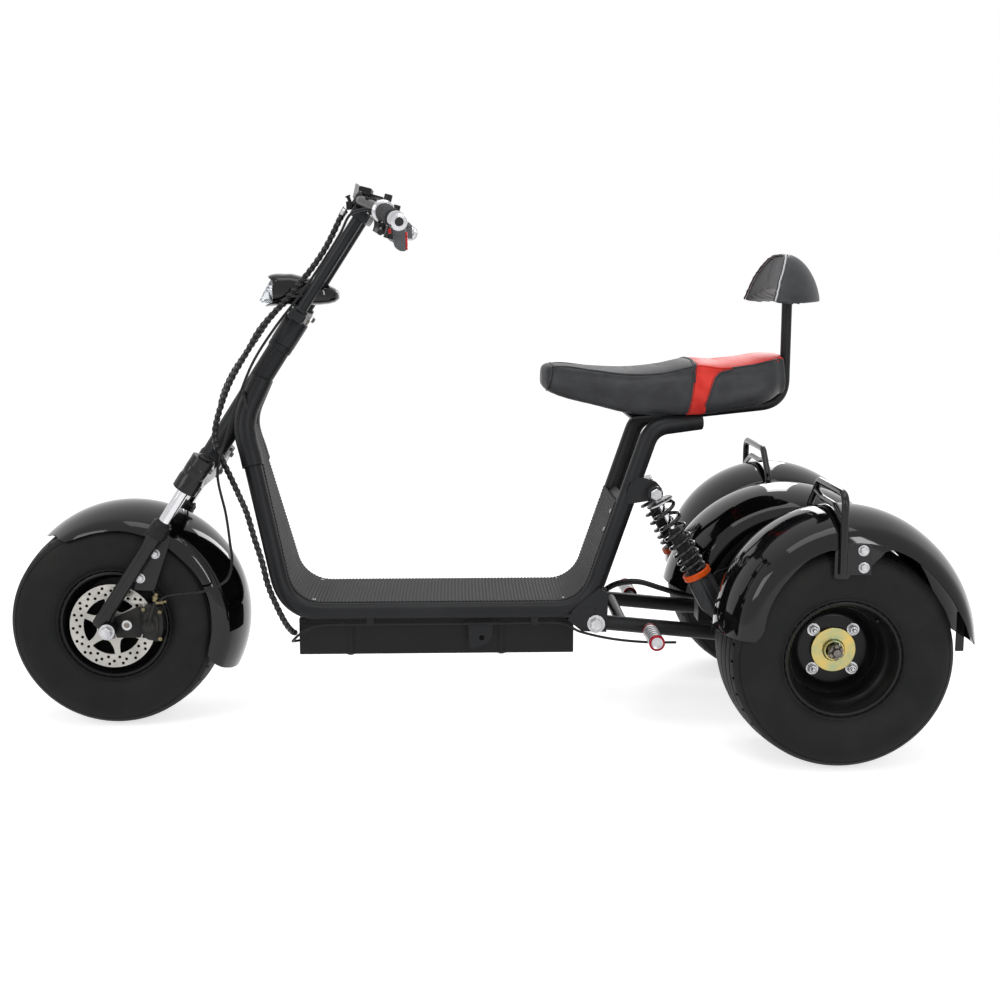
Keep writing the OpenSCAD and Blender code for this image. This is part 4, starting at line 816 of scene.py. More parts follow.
bm = bmesh.new()
place = aim(front_hub, (0, 1, 0))
barrel(bm, place)
front_disc = [
    (0.0930, 0.0040), (0.0800, 0.0040), (0.0480, 0.0180), (0.0360, 0.0380), (0.0310, 0.0900),
    (0.0300, 0.1018), (0.0068, 0.1018),
]
lathe(bm, front_disc + [(r, -z) for r, z in reversed(front_disc)], rim_steps, place, closed=True)
part_of("rim_front", bm, rim_paint, "front_wheel", "front_rim")

# Rear hubs
# Yellow zinc plated flanges held by four bright wheel nuts, with a dark castle nut and a split pin
# in the middle.
zinc = finish_of("yellow_zinc", (0.52, 0.38, 0.12), (0.30, 0.35, 0.20), 0.3, spread=0.16,
                 grain=700, height=0.00003, patch=38, metallic=1, edge=(0.7, 0.6, 0.4))
dark_steel = finish_of("dark_steel", (0.12, 0.115, 0.11), (0.2, 0.18, 0.15), 0.4, spread=0.2,
                       grain=900, height=0.00004, patch=60, metallic=1)


for side, body in ((-1, "rear_wheel_left"), (1, "rear_wheel_right")):
    out = Vector((0, side, 0))
    hub = Vector((rear_hub_x, side * rear_hub_y, hub_height))
    bm = bmesh.new()
    lathe(bm, [(0.0170, 0.0123), (0.0440, 0.0123), (0.0448, 0.0132), (0.0448, 0.0192),
               (0.0440, 0.0200), (0.0225, 0.0200), (0.0215, 0.0210), (0.0210, 0.0262),
               (0.0200, 0.0270), (0.0170, 0.0270)], 80, aim(hub, out), closed=True)
    part_of("hub_flange_" + body, bm, zinc, body, body.replace("wheel", "hub"))

    bm = bmesh.new()
    for k in range(4):
        turn = math.radians(45 + 90 * k)
        at = hub + out * 0.0122 + Vector((math.cos(turn), 0, math.sin(turn))) * 0.056
        bolt(bm, at, out, 0.016, stub=0.006)
    part_of("wheel_nuts_" + body, bm, bright_steel, body, angle=25)

    bm = bmesh.new()
    place = aim(hub, out)
    bmesh.ops.create_cone(bm, cap_ends=True, segments=6, radius1=0.0165, radius2=0.0160,
                          depth=0.011, matrix=place @ Matrix.Translation((0, 0, 0.0325)))
    lathe(bm, [(0, 0.030), (0.0082, 0.030), (0.0082, 0.049), (0.0072, 0.050), (0, 0.050)],
          28, place)
    for k in range(6):
        turn = math.radians(60 * k + 30)
        tooth = place @ Matrix.Rotation(turn, 4, "Z") @ Matrix.Translation((0.0118, 0, 0.0405))
        bmesh.ops.create_cube(bm, size=1, matrix=tooth @ Matrix.Diagonal((0.0055, 0.0078, 0.007, 1)))
    pin = place @ Matrix.Translation((0, 0, 0.042)) @ Matrix.Rotation(math.pi / 2, 4, "X")
    bmesh.ops.create_cone(bm, cap_ends=True, segments=12, radius1=0.0013, radius2=0.0013,
                          depth=0.034, matrix=pin)
    part_of("castle_nut_" + body, bm, dark_steel, body, angle=25)

# Seat
# A long foam saddle under stretched black vinyl: low and dished in front, with a seam that runs
# back along each upper edge, a red band behind the hump and a red top over the raised rear.
seat_rows = [
    # x, half width, top, height of the side seam, bottom
    (0.158, 0.036, 0.765, 0.750, 0.726), (0.170, 0.064, 0.772, 0.764, 0.716),
    (0.205, 0.085, 0.770, 0.768, 0.703), (0.262, 0.103, 0.766, 0.761, 0.690),
    (0.342, 0.119, 0.763, 0.753, 0.672), (0.412, 0.127, 0.769, 0.757, 0.670),
    (0.455, 0.131, 0.778, 0.767, 0.670), (0.480, 0.133, 0.782, 0.772, 0.671),
    (0.532, 0.136, 0.780, 0.767, 0.677), (0.592, 0.135, 0.786, 0.773, 0.687),
    (0.632, 0.125, 0.793, 0.781, 0.700), (0.656, 0.100, 0.793, 0.783, 0.714),
    (0.668, 0.060, 0.785, 0.776, 0.732),
]
seat_from, seat_to = seat_rows[0][0], seat_rows[-1][0]
seam_column, low_column = 3, 4


def eased(rows, x, column):
    """A column of the rows at x, on a smooth curve through the rows."""
    xs = [r[0] for r in rows]
    i = max(1, min(len(rows) - 2, next((k for k, v in enumerate(xs) if v > x), len(xs) - 1)))
    a, b = rows[i - 1], rows[i]
    before, after = rows[max(0, i - 2)], rows[min(len(rows) - 1, i + 1)]
    t = min(1, max(0, (x - a[0]) / (b[0] - a[0])))
    run = b[0] - a[0]
    slope_a = (b[column] - before[column]) / max(1e-6, b[0] - before[0]) * run
    slope_b = (after[column] - a[column]) / max(1e-6, after[0] - a[0]) * run
    t2, t3 = t * t, t * t * t
    return ((2 * t3 - 3 * t2 + 1) * a[column] + (t3 - 2 * t2 + t) * slope_a
            + (3 * t2 - 2 * t3) * b[column] + (t3 - t2) * slope_b)


def seat_ring(x, n):
    """Section across the seat: flat below, a bulging side up to the seam, then a low crown."""
    half, top, seam, low = (eased(seat_rows, x, k) for k in (1, 2, 3, 4))
    ring = []
    for k in range(n):
        u = 4 * k / n
        part, t = int(u), u - int(u)
        if part == 0:
            y, z = half * 0.86 * (1 - 2 * t), low
        elif part == 1:
            y = -half * (0.86 + 0.14 * math.sin(math.pi * min(1, t * 1.15) ** 0.8) - 0.02 * t)
            z = low + (seam - low) * t
        elif part == 2:
            y = half * 0.84 * (2 * t - 1)
            z = seam + (top - seam) * (1 - (2 * t - 1) ** 4)
        else:
            y = half * (0.86 + 0.14 * math.sin(math.pi * min(1, (1 - t) * 1.15) ** 0.8) - 0.02 * (1 - t))
            z = seam + (low - seam) * t
        ring.append(Vector((x, y, z)))
    return ring


def result_of(made):
    """Mesh that a piece's modifiers give, with the modifiers taken off."""
    graph = bpy.context.evaluated_depsgraph_get()
    mesh = bpy.data.meshes.new_from_object(made.evaluated_get(graph))
    made.modifiers.clear()
    return mesh


def cushion(made, voxel, pressure, held, most=0.007, frames=20):
    """Remeshes a pad, fills it with air under its cover, and moves no point further than most."""
    remesh = made.modifiers.new("even", "REMESH")
    remesh.mode = "VOXEL"
    remesh.voxel_size = voxel
    even = result_of(made)
    made.data = even
    pinned = made.vertex_groups.new(name="held")
    pinned.add([v.index for v in even.vertices if held(v.co)], 1, "REPLACE")
    cloth = made.modifiers.new("cover", "CLOTH")
    cloth.settings.effector_weights.gravity = 0
    for setting, value in (
        ("use_pressure", True), ("uniform_pressure_force", pressure), ("quality", 5),
        ("mass", 0.3), ("tension_stiffness", 30), ("compression_stiffness", 30),
        ("bending_stiffness", 2), ("vertex_group_mass", "held"),
    ):
        setattr(cloth.settings, setting, value)
    cloth.point_cache.frame_start = 1
    cloth.point_cache.frame_end = frames
    for f in range(1, frames + 1):
        bpy.context.scene.frame_set(f)
    puffed = result_of(made)
    bpy.context.scene.frame_set(1)
    for start, v in zip(even.vertices, puffed.vertices):
        moved = v.co - start.co
        if moved.length > most:
            v.co = start.co + moved * (most / moved.length)
    made.data = puffed
    finer = made.modifiers.new("finer", "SUBSURF")
    finer.levels = 1
    finer.render_levels = 1
    made.data = result_of(made)
    made.data.shade_smooth()
    return made


def vinyl_of(name, color, second, shine=0.3):
    """Soft vinyl with a leather grain pressed into it, and painted shade: darker in the hollows of its
    creases, paler on their ridges.
    """
    look, tree = new_look(name)
    place = node_of(tree, "TexCoord").outputs["Object"]
    cells = node_of(tree, "TexVoronoi", {"Vector": place, "Scale": 620}, feature="DISTANCE_TO_EDGE")
    fold = node_of(tree, "TexNoise", {"Vector": place, "Scale": 26, "Detail": 5}).outputs[0]
    # painted shade: the fold noise that raises the creases also sets the colour, darker in their hollows
    # and paler on their ridges
    shade = node_of(tree, "ValToRGB", {"Fac": fold})
    for element, at, tone in zip(shade.color_ramp.elements, (0.35, 0.7), (color, second)):
        element.position = at
        element.color = (*tone, 1)
    gloss = node_of(tree, "MapRange", {"Value": fold, "To Min": 0.36, "To Max": 0.52})
    creases = node_of(tree, "Bump", {"Strength": 0.5, "Distance": 0.0012, "Height": fold})
    pores = node_of(tree, "Bump", {"Strength": 0.35, "Distance": 0.0004,
                                   "Height": cells.outputs["Distance"], "Normal": creases.outputs[0]})
    fill(tree, tree.nodes["Principled BSDF"], {
        "Specular IOR Level": shine, "Base Color": shade.outputs["Color"],
        "Roughness": gloss.outputs[0], "Normal": pores.outputs[0],
    })
    return look


black_vinyl = vinyl_of("black_vinyl", (0.018, 0.0185, 0.021), (0.036, 0.037, 0.041))
red_vinyl = vinyl_of("red_vinyl", (0.60, 0.032, 0.026), (0.74, 0.060, 0.045), 0.08)
hump_x = 0.478
band_edge = [(0.690, 0.494), (0.705, 0.499), (0.729, 0.507), (0.749, 0.516), (0.759, 0.527),
             (0.765, 0.551)]
band_front = [(0.670, 0.456), (0.733, 0.467), (0.765, 0.473), (0.781, 0.478)]


def level(line, z):
    """x of a line of (height, x) pairs at a height."""
    for (a, low), (b, high) in zip(line, line[1:]):
        if z <= b:
            return low + (high - low) * min(1, max(0, (z - a) / (b - a)))
    return line[-1][1]


def seat_at(x, column):
    """A column of the seat's rows at x, or at the nearer end of the seat."""
    return eased(seat_rows, min(seat_to, max(seat_from, x)), column)


def panel_of(p):
    """Which panel of the cover a point lies in: 0 black, 1 red."""
    seam = seat_at(p.x, seam_column)
    lift = 0.001 - 0.004 * (abs(p.y) < 0.09) + 0.005 * (p.x > 0.654)
    if p.z > seam + lift and abs(p.y) < 0.115:
        return 1 if p.x > level(band_front, p.z) else 0
    return 1 if level(band_front, p.z) < p.x < level(band_edge, p.z) else 0


bm = bmesh.new()
last = 45
shares = [0.5 - 0.5 * math.cos(math.pi * i / last) for i in range(last + 1)]
loft(bm, [seat_ring(seat_from + (seat_to - seat_from) * share, 64) for share in shares])
seat = mesh_from(bm, "seat_cover")


def seat_held(p):
    low = seat_at(p.x, low_column)
    at_seam = abs(p.z - seat_at(p.x, seam_column)) < 0.004 and abs(p.y) > 0.03
    at_cross = abs(p.x - level(band_front, p.z)) < 0.0035
    at_edge = abs(p.x - level(band_edge, p.z)) < 0.0035 and p.z < 0.762
    return p.z < low + 0.006 or at_seam or at_cross or at_edge


cushion(seat, 0.006, 4, seat_held)
seat.data.materials.append(black_vinyl)
seat.data.materials.append(red_vinyl)
for f in seat.data.polygons:
    f.material_index = panel_of(f.center)
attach(seat, "frame")
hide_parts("seat")

# seams: a rolled edge along each panel line, laid on the stretched cover, and rows of stitches


def on_cover(made, start, along_line):
    """The first point of a piece that a straight line from start meets."""
    hit, at, normal, _ = made.ray_cast(start, along_line)
    return (at, normal) if hit else None


def side_seam(line, side):
    """A seam given by (x, z) pairs, laid on one side of the cover."""
    found = []
    for x, z in line:
        met = on_cover(seat, Vector((x, side * 0.3, z)), Vector((0, -side, 0)))
        if met:
            found.append(met)
    return found


def top_seam(x_of, half):
    """A seam across the cover at x_of(y)."""
    found = []
    for k in range(33):
        y = half * (2 * k / 32 - 1)
        met = on_cover(seat, Vector((x_of(y), y, 0.95)), Vector((0, 0, -1)))
        if met:
            found.append(met)
    return found


def crease(start, step, count):
    """The upper edge of the cover, as (x, z) pairs from start on."""
    return [(start + step * k, seat_at(start + step * k, seam_column) + 0.0005) for k in range(count)]


def across_band(line, low, step, count):
    """An edge of the red band, as (x, z) pairs from a height on."""
    return [(level(line, low + step * k), low + step * k) for k in range(count)]


def stitches(bm, seam, shift, pitch=0.0056, long=0.0034):
    """A row of stitches beside a seam."""
    run = 0.0
    for (a, normal), (b, _) in zip(seam, seam[1:]):
        step = b - a
        if step.length < 1e-5 or step.length > 0.03:
            continue
        across = normal.cross(step).normalized() * shift
        on = step.normalized()
        while run < step.length:
            p = a + on * run + across + normal * 0.0003
            tube(bm, [p, p + on * long * 0.5 + normal * 0.0004, p + on * long], 0.00055, 5)
            run += pitch
        run -= step.length


cover = {"black": bmesh.new(), "red": bmesh.new(), "thread": bmesh.new()}
for side in (-1, 1):
    nose = [(0.168 + 0.010 * math.sin(k / 14 * math.pi / 2), 0.718 + 0.0034 * k) for k in range(15)]
    lines = (
        ("black", side_seam(crease(0.180, 0.0058, 51), side)),
        ("red", side_seam(crease(hump_x, 0.0060, 13), side)),
        ("black", side_seam(crease(0.550, 0.0056, 20), side)),
        ("black", side_seam(across_band(band_front, 0.676, 0.0035, 30), side)),
        ("black", side_seam(across_band(band_edge, 0.690, 0.0030, 26), side)),
        ("black", side_seam(nose, side)),
    )
    for color, seam in lines:
        tube(cover[color], [p + normal * 0.0004 for p, normal in seam], 0.0020, 8)
    for at, shift in ((3, side * 0.0042), (4, -side * 0.0042), (5, side * 0.0040)):
        stitches(cover["thread"], lines[at][1], shift)
across = top_seam(lambda y: hump_x - 0.006 * (y / 0.12) ** 2, 0.122)
tube(cover["black"], [p + normal * 0.0002 for p, normal in across], 0.0017, 8)
stitches(cover["thread"], across, 0.0042)
across = top_seam(lambda y: 0.178 + 0.010 * (y / 0.07) ** 2, 0.066)
tube(cover["black"], [p + normal * 0.0002 for p, normal in across], 0.0015, 8)
thread = finish_of("black_thread", (0.010, 0.010, 0.011), (0.022, 0.022, 0.024), 0.6, spread=0.2,
                   grain=2500, height=0.00005, patch=200)
part_of("seat_seams", cover["black"], black_vinyl, "frame", angle=60)
part_of("seat_seams_red", cover["red"], red_vinyl, "frame", angle=60)
part_of("seat_stitches", cover["thread"], thread, "frame", angle=60)
# Backrest
# A shell-shaped pad in black vinyl on a bent steel post. Its face leans back, its back bulges, and
# a pale piping runs round the edge between the two.
bm = bmesh.new()
post_line = [(0.4717, 0, 0.6540 + 0.0080), (0.688, 0, 0.6847), (0.688, 0, 0.915)]
tube(bm, rounded(post_line, [0, 0.055, 0], 14), 0.011, 32)
part_of("back_post", bm, frame_paint, "frame", "backrest_post")
pad_low = 0.899
pad_half = 0.150
pad_front = 0.627
foot_deep, foot_high = 0.024, 0.033
face_edge = math.radians(90)


def pad_point(u, a):
    """A point of the pad at u across, from -1 to 1, and a round it: 0 front edge, pi rear edge."""
    inner = max(0, 1 - u * u)
    rise = 0.102 * max(0, 1 - abs(u) ** 3.2) ** 0.75
    crest = 0.044 * max(0, 1 - abs(u) ** 2.5)
    deep = 0.014 + 0.111 * math.sqrt(inner)
    if a < math.pi / 2:
        t = a / (math.pi / 2)
        foot = foot_deep * inner
        x = foot + (crest - foot) * t + 0.007 * inner * math.sin(math.pi * t)
        z = foot_high * inner + (rise - foot_high * inner) * math.sin(a)
    else:
        x = crest + (deep - crest) * math.sin(a - math.pi / 2)
        z = rise * max(0, math.cos(a - math.pi / 2)) ** 1.25 + 0.004 * inner
    return Vector((pad_front + x, u * pad_half, pad_low + z))


bm = bmesh.new()
rings = []
for k in range(49):
    u = -math.cos(math.pi * k / 48)
    rings.append([pad_point(u * 0.995, math.pi * j / 40) for j in range(41)])
loft(bm, rings)
pad = mesh_from(bm, "back_cover")
edge_points = [pad_point(-0.992 * math.cos(math.pi * k / 70), face_edge) for k in range(71)]


def pad_held(p):
    return p.z < pad_low + 0.005 or min((p - q).length for q in edge_points) < 0.005


cushion(pad, 0.005, 3, pad_held, 0.006)
# painted sheen: a paler copy of the seat's black vinyl, whose lighter colour stands in for the sheen on the
# pad
pad_vinyl_painted_sheen = vinyl_of("pad_vinyl", (0.026, 0.027, 0.030), (0.046, 0.048, 0.052))
dress(pad_vinyl_painted_sheen, pad)
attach(pad, "frame")
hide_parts("backrest_pad")
pipe_grey = finish_of("piping_vinyl", (0.62, 0.62, 0.63), (0.50, 0.50, 0.52), 0.4, spread=0.16,
                      grain=700, height=0.00005, patch=40)
laid = []
for p in edge_points:
    hit, at, normal, _ = pad.closest_point_on_mesh(p)
    laid.append((at, normal))
bm = bmesh.new()
tube(bm, [at + normal * 0.0012 for at, normal in laid], 0.0019, 12)
part_of("back_piping", bm, pipe_grey, "frame", angle=60)
bm = bmesh.new()
for shift in (-0.0040, 0.0042):
    tube(bm, [at + normal * 0.0002 + Vector((shift, 0, 0)) for at, normal in laid], 0.0016, 8)
part_of("back_seams", bm, black_vinyl, "frame", angle=60)
# Fenders
# Deep domed shells in gloss black over all three wheels and the motor, pressed in thin steel, with
# sides that end in rounded tongues. The side ones reach down in a tab that holds the grab hoop.
dome_r = 0.2
shoulder_r = 0.04
fender_half = 0.119
fender_thick = 0.0025
dome_turn = math.asin((fender_half - shoulder_r) / (dome_r - shoulder_r))
dome_run = dome_r * dome_turn
shoulder_run = shoulder_r * (math.pi / 2 - dome_turn)
shoulder_drop = dome_r - (dome_r - shoulder_r) * math.cos(dome_turn)


def fender_section(s):
    """Half section of a fender at the distance s from its crown: distance sideways, and drop."""
    if s < dome_run:
        a = s / dome_r
        return dome_r * math.sin(a), dome_r * (1 - math.cos(a))
    if s < dome_run + shoulder_run:
        a = dome_turn + (s - dome_run) / shoulder_r
        return fender_half - shoulder_r + shoulder_r * math.sin(a), shoulder_drop - shoulder_r * math.cos(a)
    return fender_half, shoulder_drop + s - dome_run - shoulder_run


def along(line, at):
    """Value of a line of (angle, value) pairs at an angle, eased between the pairs."""
    for (a, low), (b, high) in zip(line, line[1:]):
        if at <= b:
            t = min(1, max(0, (at - a) / (b - a)))
            t = t * t * (3 - 2 * t) * 0.5 + t * 0.5
            return low + (high - low) * t
    return line[-1][1]


def reach(drop):
    """Distance along the section at which a fender has dropped so far."""
    low, high = 0.0, 0.3
    for _ in range(30):
        middle = (low + high) / 2
        if fender_section(middle)[1] < drop:
            low = middle
        else:
            high = middle
    return low


def fender_shell(name, node, body, centre, crown, start, stop, left_line, right_line, flare=0):
    """A fender from start to stop degrees about its centre; flare lifts its rear end outwards."""
    bm = bmesh.new()
    round_steps, cross_steps = 150, 56
    bmesh.ops.create_grid(bm, x_segments=round_steps, y_segments=cross_steps, size=0.5)
    for v in bm.verts:
        u = v.co.x + 0.5
        w = v.co.y * 2
        turn = start + (stop - start) * (0.5 - 0.5 * math.cos(math.pi * u))
        line = left_line if w < 0 else right_line
        side, drop = fender_section(abs(w) * reach(along(line, turn) / 1000))
        a = math.radians(turn)
        out = crown - drop + flare * max(0, 1 - (turn - start) / 58) ** 1.6
        v.co = centre + Vector((out * math.cos(a), math.copysign(side, w), out * math.sin(a)))
    bmesh.ops.recalc_face_normals(bm, faces=bm.faces)
    top = max(bm.faces, key=lambda f: f.calc_center_median().z)
    if top.normal.z < 0:
        bmesh.ops.reverse_faces(bm, faces=bm.faces)
    bmesh.ops.solidify(bm, geom=bm.faces, thickness=fender_thick)
    part_of(name, bm, gloss_black, body, node, 40)


gloss_black = finish_of("gloss_black", (0.0022, 0.0022, 0.0026), (0.0034, 0.0034, 0.004), 0.07,
                        spread=0.03, grain=60, height=0.000012, patch=3, radius=0.0008, coat=0.3,
                        wear=0.15)
front_line = [
    (-27, 3), (-26.4, 14), (-25.5, 28), (-24.3, 42), (-22.8, 56), (-20, 64), (-15, 66), (3, 65), (20, 61),
    (35, 60), (47, 60), (75, 52), (89, 48), (97, 48), (109, 46), (116, 44), (122, 40), (125, 28),
    (127, 16), (131, 8), (134, 3),
]
rear_line = [
    (-6, 4), (-5, 14), (-3, 24), (4, 41), (16, 49), (34, 54), (55, 55), (104, 60), (119, 62),
    (138, 68), (161, 70), (172, 72), (176, 68), (180, 58),
]
tongue_line = [
    (-6, 4), (-5, 14), (-3, 24), (4, 41), (16, 49), (34, 54), (55, 55), (69, 57), (73, 64), (76, 82),
    (80, 97), (86, 101), (95, 101), (99, 92), (102, 74), (105, 62), (119, 62), (138, 68), (161, 70),
    (172, 72), (176, 68), (180, 58),
]
fender_shell("fender_front", "front_fender", "steering", front_hub + Vector((0.024, 0, 0.003)), 0.252,
             -27, 134, front_line, front_line)
for side, name in ((-1, "left"), (1, "right")):
    centre = Vector((rear_hub_x + 0.012, side * rear_hub_y, hub_height + 0.043))
    lines = (tongue_line, rear_line)[::-side]
    fender_shell("fender_" + name, "rear_fender_" + name, "frame", centre, 0.247, -6, 180, *lines, 0.02)
centre_from, centre_to = 12, 168
centre_line = [(a * (centre_to - centre_from) / 180 + centre_from, d) for a, d in rear_line]
centre_at = Vector((rear_hub_x - 0.024, 0, hub_height + 0.015))
fender_shell("fender_centre", "rear_fender_centre", "frame", centre_at, 0.27, centre_from, centre_to,
             centre_line, centre_line)

# Grab hoops, fender plates and tail lamp
# A bent gloss black rod hoop stands over each rear fender and bolts to a plate on its outer side,
# with a second rod along the crown. A small tab hangs inside each fender's tail, and a tail lamp in
# red sits on the back of the centre fender.
hoop_x = 0.704
hoop_r = 0.0075
rod_paint = finish_of("rod_paint", (0.004, 0.004, 0.005), (0.008, 0.008, 0.009), 0.2, spread=0.12,
                      grain=800, height=0.00003, patch=20, coat=0.25)
crown_z = 0.515
for side, name in ((-1, "left"), (1, "right")):
    inner, corner, outer = 0.1926, 0.255, 0.4465
    upper = [(hoop_x, side * inner, 0.461), (hoop_x, side * inner, crown_z - 0.020),
             (hoop_x, side * corner, crown_z + 0.038), (hoop_x, side * outer, crown_z + 0.038),
             (hoop_x, side * outer, 0.401)]
    lower = [(hoop_x, side * (corner - 0.018), crown_z + 0.015),
             (hoop_x, side * (corner + 0.030), crown_z + 0.0070),
             (hoop_x, side * 0.380, crown_z + 0.0070), (hoop_x, side * outer, crown_z - 0.020)]
    bm = bmesh.new()
    tube(bm, rounded(upper, [0, 0.025, 0.025, 0.025, 0], 10), hoop_r, 20)
    tube(bm, rounded(lower, [0, 0.06, 0.06, 0], 8), hoop_r - 0.0012, 20)
    part_of("hoop_" + name, bm, rod_paint, "frame", "grab_hoop_" + name)
    bm = bmesh.new()
    plate_y, back_y = side * 0.4404, side * 0.4390
    edges = cuboid(bm, upright, (hoop_x - 0.015, plate_y - 0.0014, 0.391),
                   (hoop_x + 0.015, plate_y + 0.0014, 0.447))
    soften(bm, [e for e in edges if abs(e.verts[0].co.y - e.verts[1].co.y) > 0.001], 0.007, 4)
    cuboid(bm, upright, (0.696, back_y - 0.0008, 0.398), (0.760, back_y + 0.0008, 0.458))
    part_of("hoop_plate_" + name, bm, rod_paint, "frame")
    bm = bmesh.new()
    for x, z in ((0.744, 0.445), (0.746, 0.412)):
        bolt(bm, (x, side * 0.4388, z), (0, side, 0), 0.0130)
    part_of("hoop_bolts_" + name, bm, bright_steel, "frame", angle=25)
    bm = bmesh.new()
    tab_y = side * 0.328
    cuboid(bm, upright, (0.971, tab_y - 0.002, 0.217), (0.987, tab_y + 0.002, 0.297))
    part_of("tail_tab_" + name, bm, rod_paint, "frame", angle=40)

# tail lamp: a red lens with fine ribs in a black housing
lens_red = finish_of("lens_red", (0.42, 0.004, 0.006), (0.30, 0.003, 0.004), 0.12, spread=0.08,
                     grain=400, height=0.00001, patch=20, coat=0.6)
lamp_turn = math.radians(38)
lamp_out = Vector((math.cos(lamp_turn), 0, math.sin(lamp_turn)))
lamp_place = Matrix.Translation(centre_at + lamp_out * 0.2715) @ Matrix.Rotation(-lamp_turn, 4, "Y")
bm = bmesh.new()
block(bm, lamp_place, (0, -0.050, -0.022), (0.012, 0.050, 0.022), 0.003)
part_of("tail_housing", bm, gloss_black, "frame")
bm = bmesh.new()
block(bm, lamp_place, (0.011, -0.047, -0.019), (0.025, 0.047, 0.019), 0.004, 4)
for k in range(9):
    y = -0.036 + 0.009 * k
    cuboid(bm, lamp_place, (0.0244, y - 0.0021, -0.015), (0.0260, y + 0.0021, 0.015))
part_of("tail_lens", bm, lens_red, "frame", "tail_lamp")

# Front fork
# Black crown with a clamp on each leg, chromed stanchions, dust caps, and satin black lower legs
# with welded lugs that hold the fender, the axle and the brake.
leg_y = 0.139
fork_long = 0.751
cap_high = -0.492
leg_paint = finish_of("leg_paint", (0.007, 0.007, 0.008), (0.012, 0.012, 0.0135), 0.3, spread=0.14,
                      grain=1200, height=0.00003, patch=12, radius=0.001, coat=0.2)
cap_rubber = finish_of("cap_rubber", (0.006, 0.006, 0.0065), (0.011, 0.011, 0.0115), 0.42,
                       spread=0.2, grain=700, height=0.00004, patch=30)
dress(leg_paint, "fork_crown")
for side, name in ((-1, "left"), (1, "right")):
    place = aim(at_steer(0, side * leg_y, 0), steer_axis)
    bm = bmesh.new()
    lathe(bm, [(0, -0.559), (0.0125, -0.559), (0.0125, -0.334), (0, -0.334)], 48, place)
    part_of("stanchion_" + name, bm, chrome, "steering", side < 0 and "fork_stanchions")
    bm = bmesh.new()
    # clamp sleeve of the crown, with a pinch slot and a chamfered mouth
    lathe(bm, [(0.0129, -0.412), (0.0250, -0.412), (0.0262, -0.4105), (0.0262, -0.384),
               (0.0250, -0.3805), (0.0240, -0.372), (0.0129, -0.366)], 56, place, closed=True)
    lathe(bm, [(0, -0.334), (0.0128, -0.334), (0.0128, -0.330), (0.0110, -0.3285), (0, -0.3285)],
          40, place)
    part_of("clamp_" + name, bm, leg_paint, "steering")
    bm = bmesh.new()
    lathe(bm, [(0.0129, cap_high - 0.0005), (0.0165, cap_high + 0.001), (0.0178, cap_high - 0.003),
               (0.0206, cap_high - 0.005), (0.0210, cap_high - 0.0120), (0.0202, cap_high - 0.0128),
               (0.0202, cap_high - 0.0150), (0.0210, cap_high - 0.0158), (0.0208, cap_high - 0.034),
               (0.0182, cap_high - 0.0365), (0.0129, cap_high - 0.0365)], 48, place, closed=True)
    part_of("dust_cap_" + name, bm, cap_rubber, "steering")
    bm = bmesh.new()
    lathe(bm, [(0, cap_high - 0.024), (0.0160, cap_high - 0.024), (0.0160, cap_high - 0.052),
               (0.0150, cap_high - 0.060), (0.0150, -0.728), (0.0162, -0.736), (0.0162, -0.7505),
               (0.0140, -0.7545), (0, -0.7545)], 48, place)
    lug = at_steer(0, side * leg_y, -fork_long + 0.004)
    hub = front_hub + Vector((0, side * leg_y, 0))
    lathe(bm, [(0, -0.0150), (0.0150, -0.0150), (0.0160, -0.0140), (0.0160, 0.0160),
               (0.0150, 0.0175), (0, 0.0175)], 48, aim(hub, (0, side, 0)))
    tube(bm, [lug, hub], 0.0125, 24)
    part_of("leg_" + name, bm, leg_paint, "steering", side < 0 and "fork_lowers")

# the crown: a cast yoke with rounded shoulders from leg to leg, and its pinch bolts
steer_back = at_steer(1, 0, 0) - at_steer(0, 0, 0)
half_crown = [
    (0.1640, 0.010, 0.008, -0.3660), (0.1590, 0.019, 0.016, -0.3640), (0.1480, 0.0240, 0.0215, -0.3620),
    (0.1250, 0.0250, 0.0240, -0.3600), (0.0800, 0.0230, 0.0250, -0.3620), (0.0400, 0.0262, 0.0245, -0.3840),
]
crown_middle = [(0, 0.0270, 0.0245, -0.3860)]
bm = bmesh.new()
rings = []
for y, wide, high, up in [(-y, *row) for y, *row in half_crown] + crown_middle + half_crown[::-1]:
    ring = []
    for k in range(40):
        c, s = math.cos(math.pi * k / 20), math.sin(math.pi * k / 20)
        ring.append(at_steer(wide * math.copysign(abs(c) ** 0.6, c), y,
                             up + high * math.copysign(abs(s) ** 0.6, s)))
    rings.append(ring)
loft(bm, rings)
part_of("yoke", bm, leg_paint, "steering", angle=50)
bm = bmesh.new()
for side in (-1, 1):
    for up in (-0.350, -0.396):
        bolt(bm, at_steer(0.024, side * (leg_y - 0.004), up), steer_back, 0.0100, washer=False)
bolt(bm, at_steer(0, 0, -0.4112), -steer_axis, 0.022)
part_of("crown_bolts", bm, dark_steel, "steering", angle=25)

# axle: a bright bolt head on the near leg, a nut on the other
bm = bmesh.new()
lathe(bm, [(0, -0.160), (0.0060, -0.160), (0.0060, 0.160), (0, 0.160)], 24, aim(front_hub, (0, 1, 0)))
for side in (-1, 1):
    bolt(bm, front_hub + Vector((0, side * (leg_y + 0.0178), 0)), (0, side, 0), 0.0205,
         stub=0.004 if side > 0 else 0)
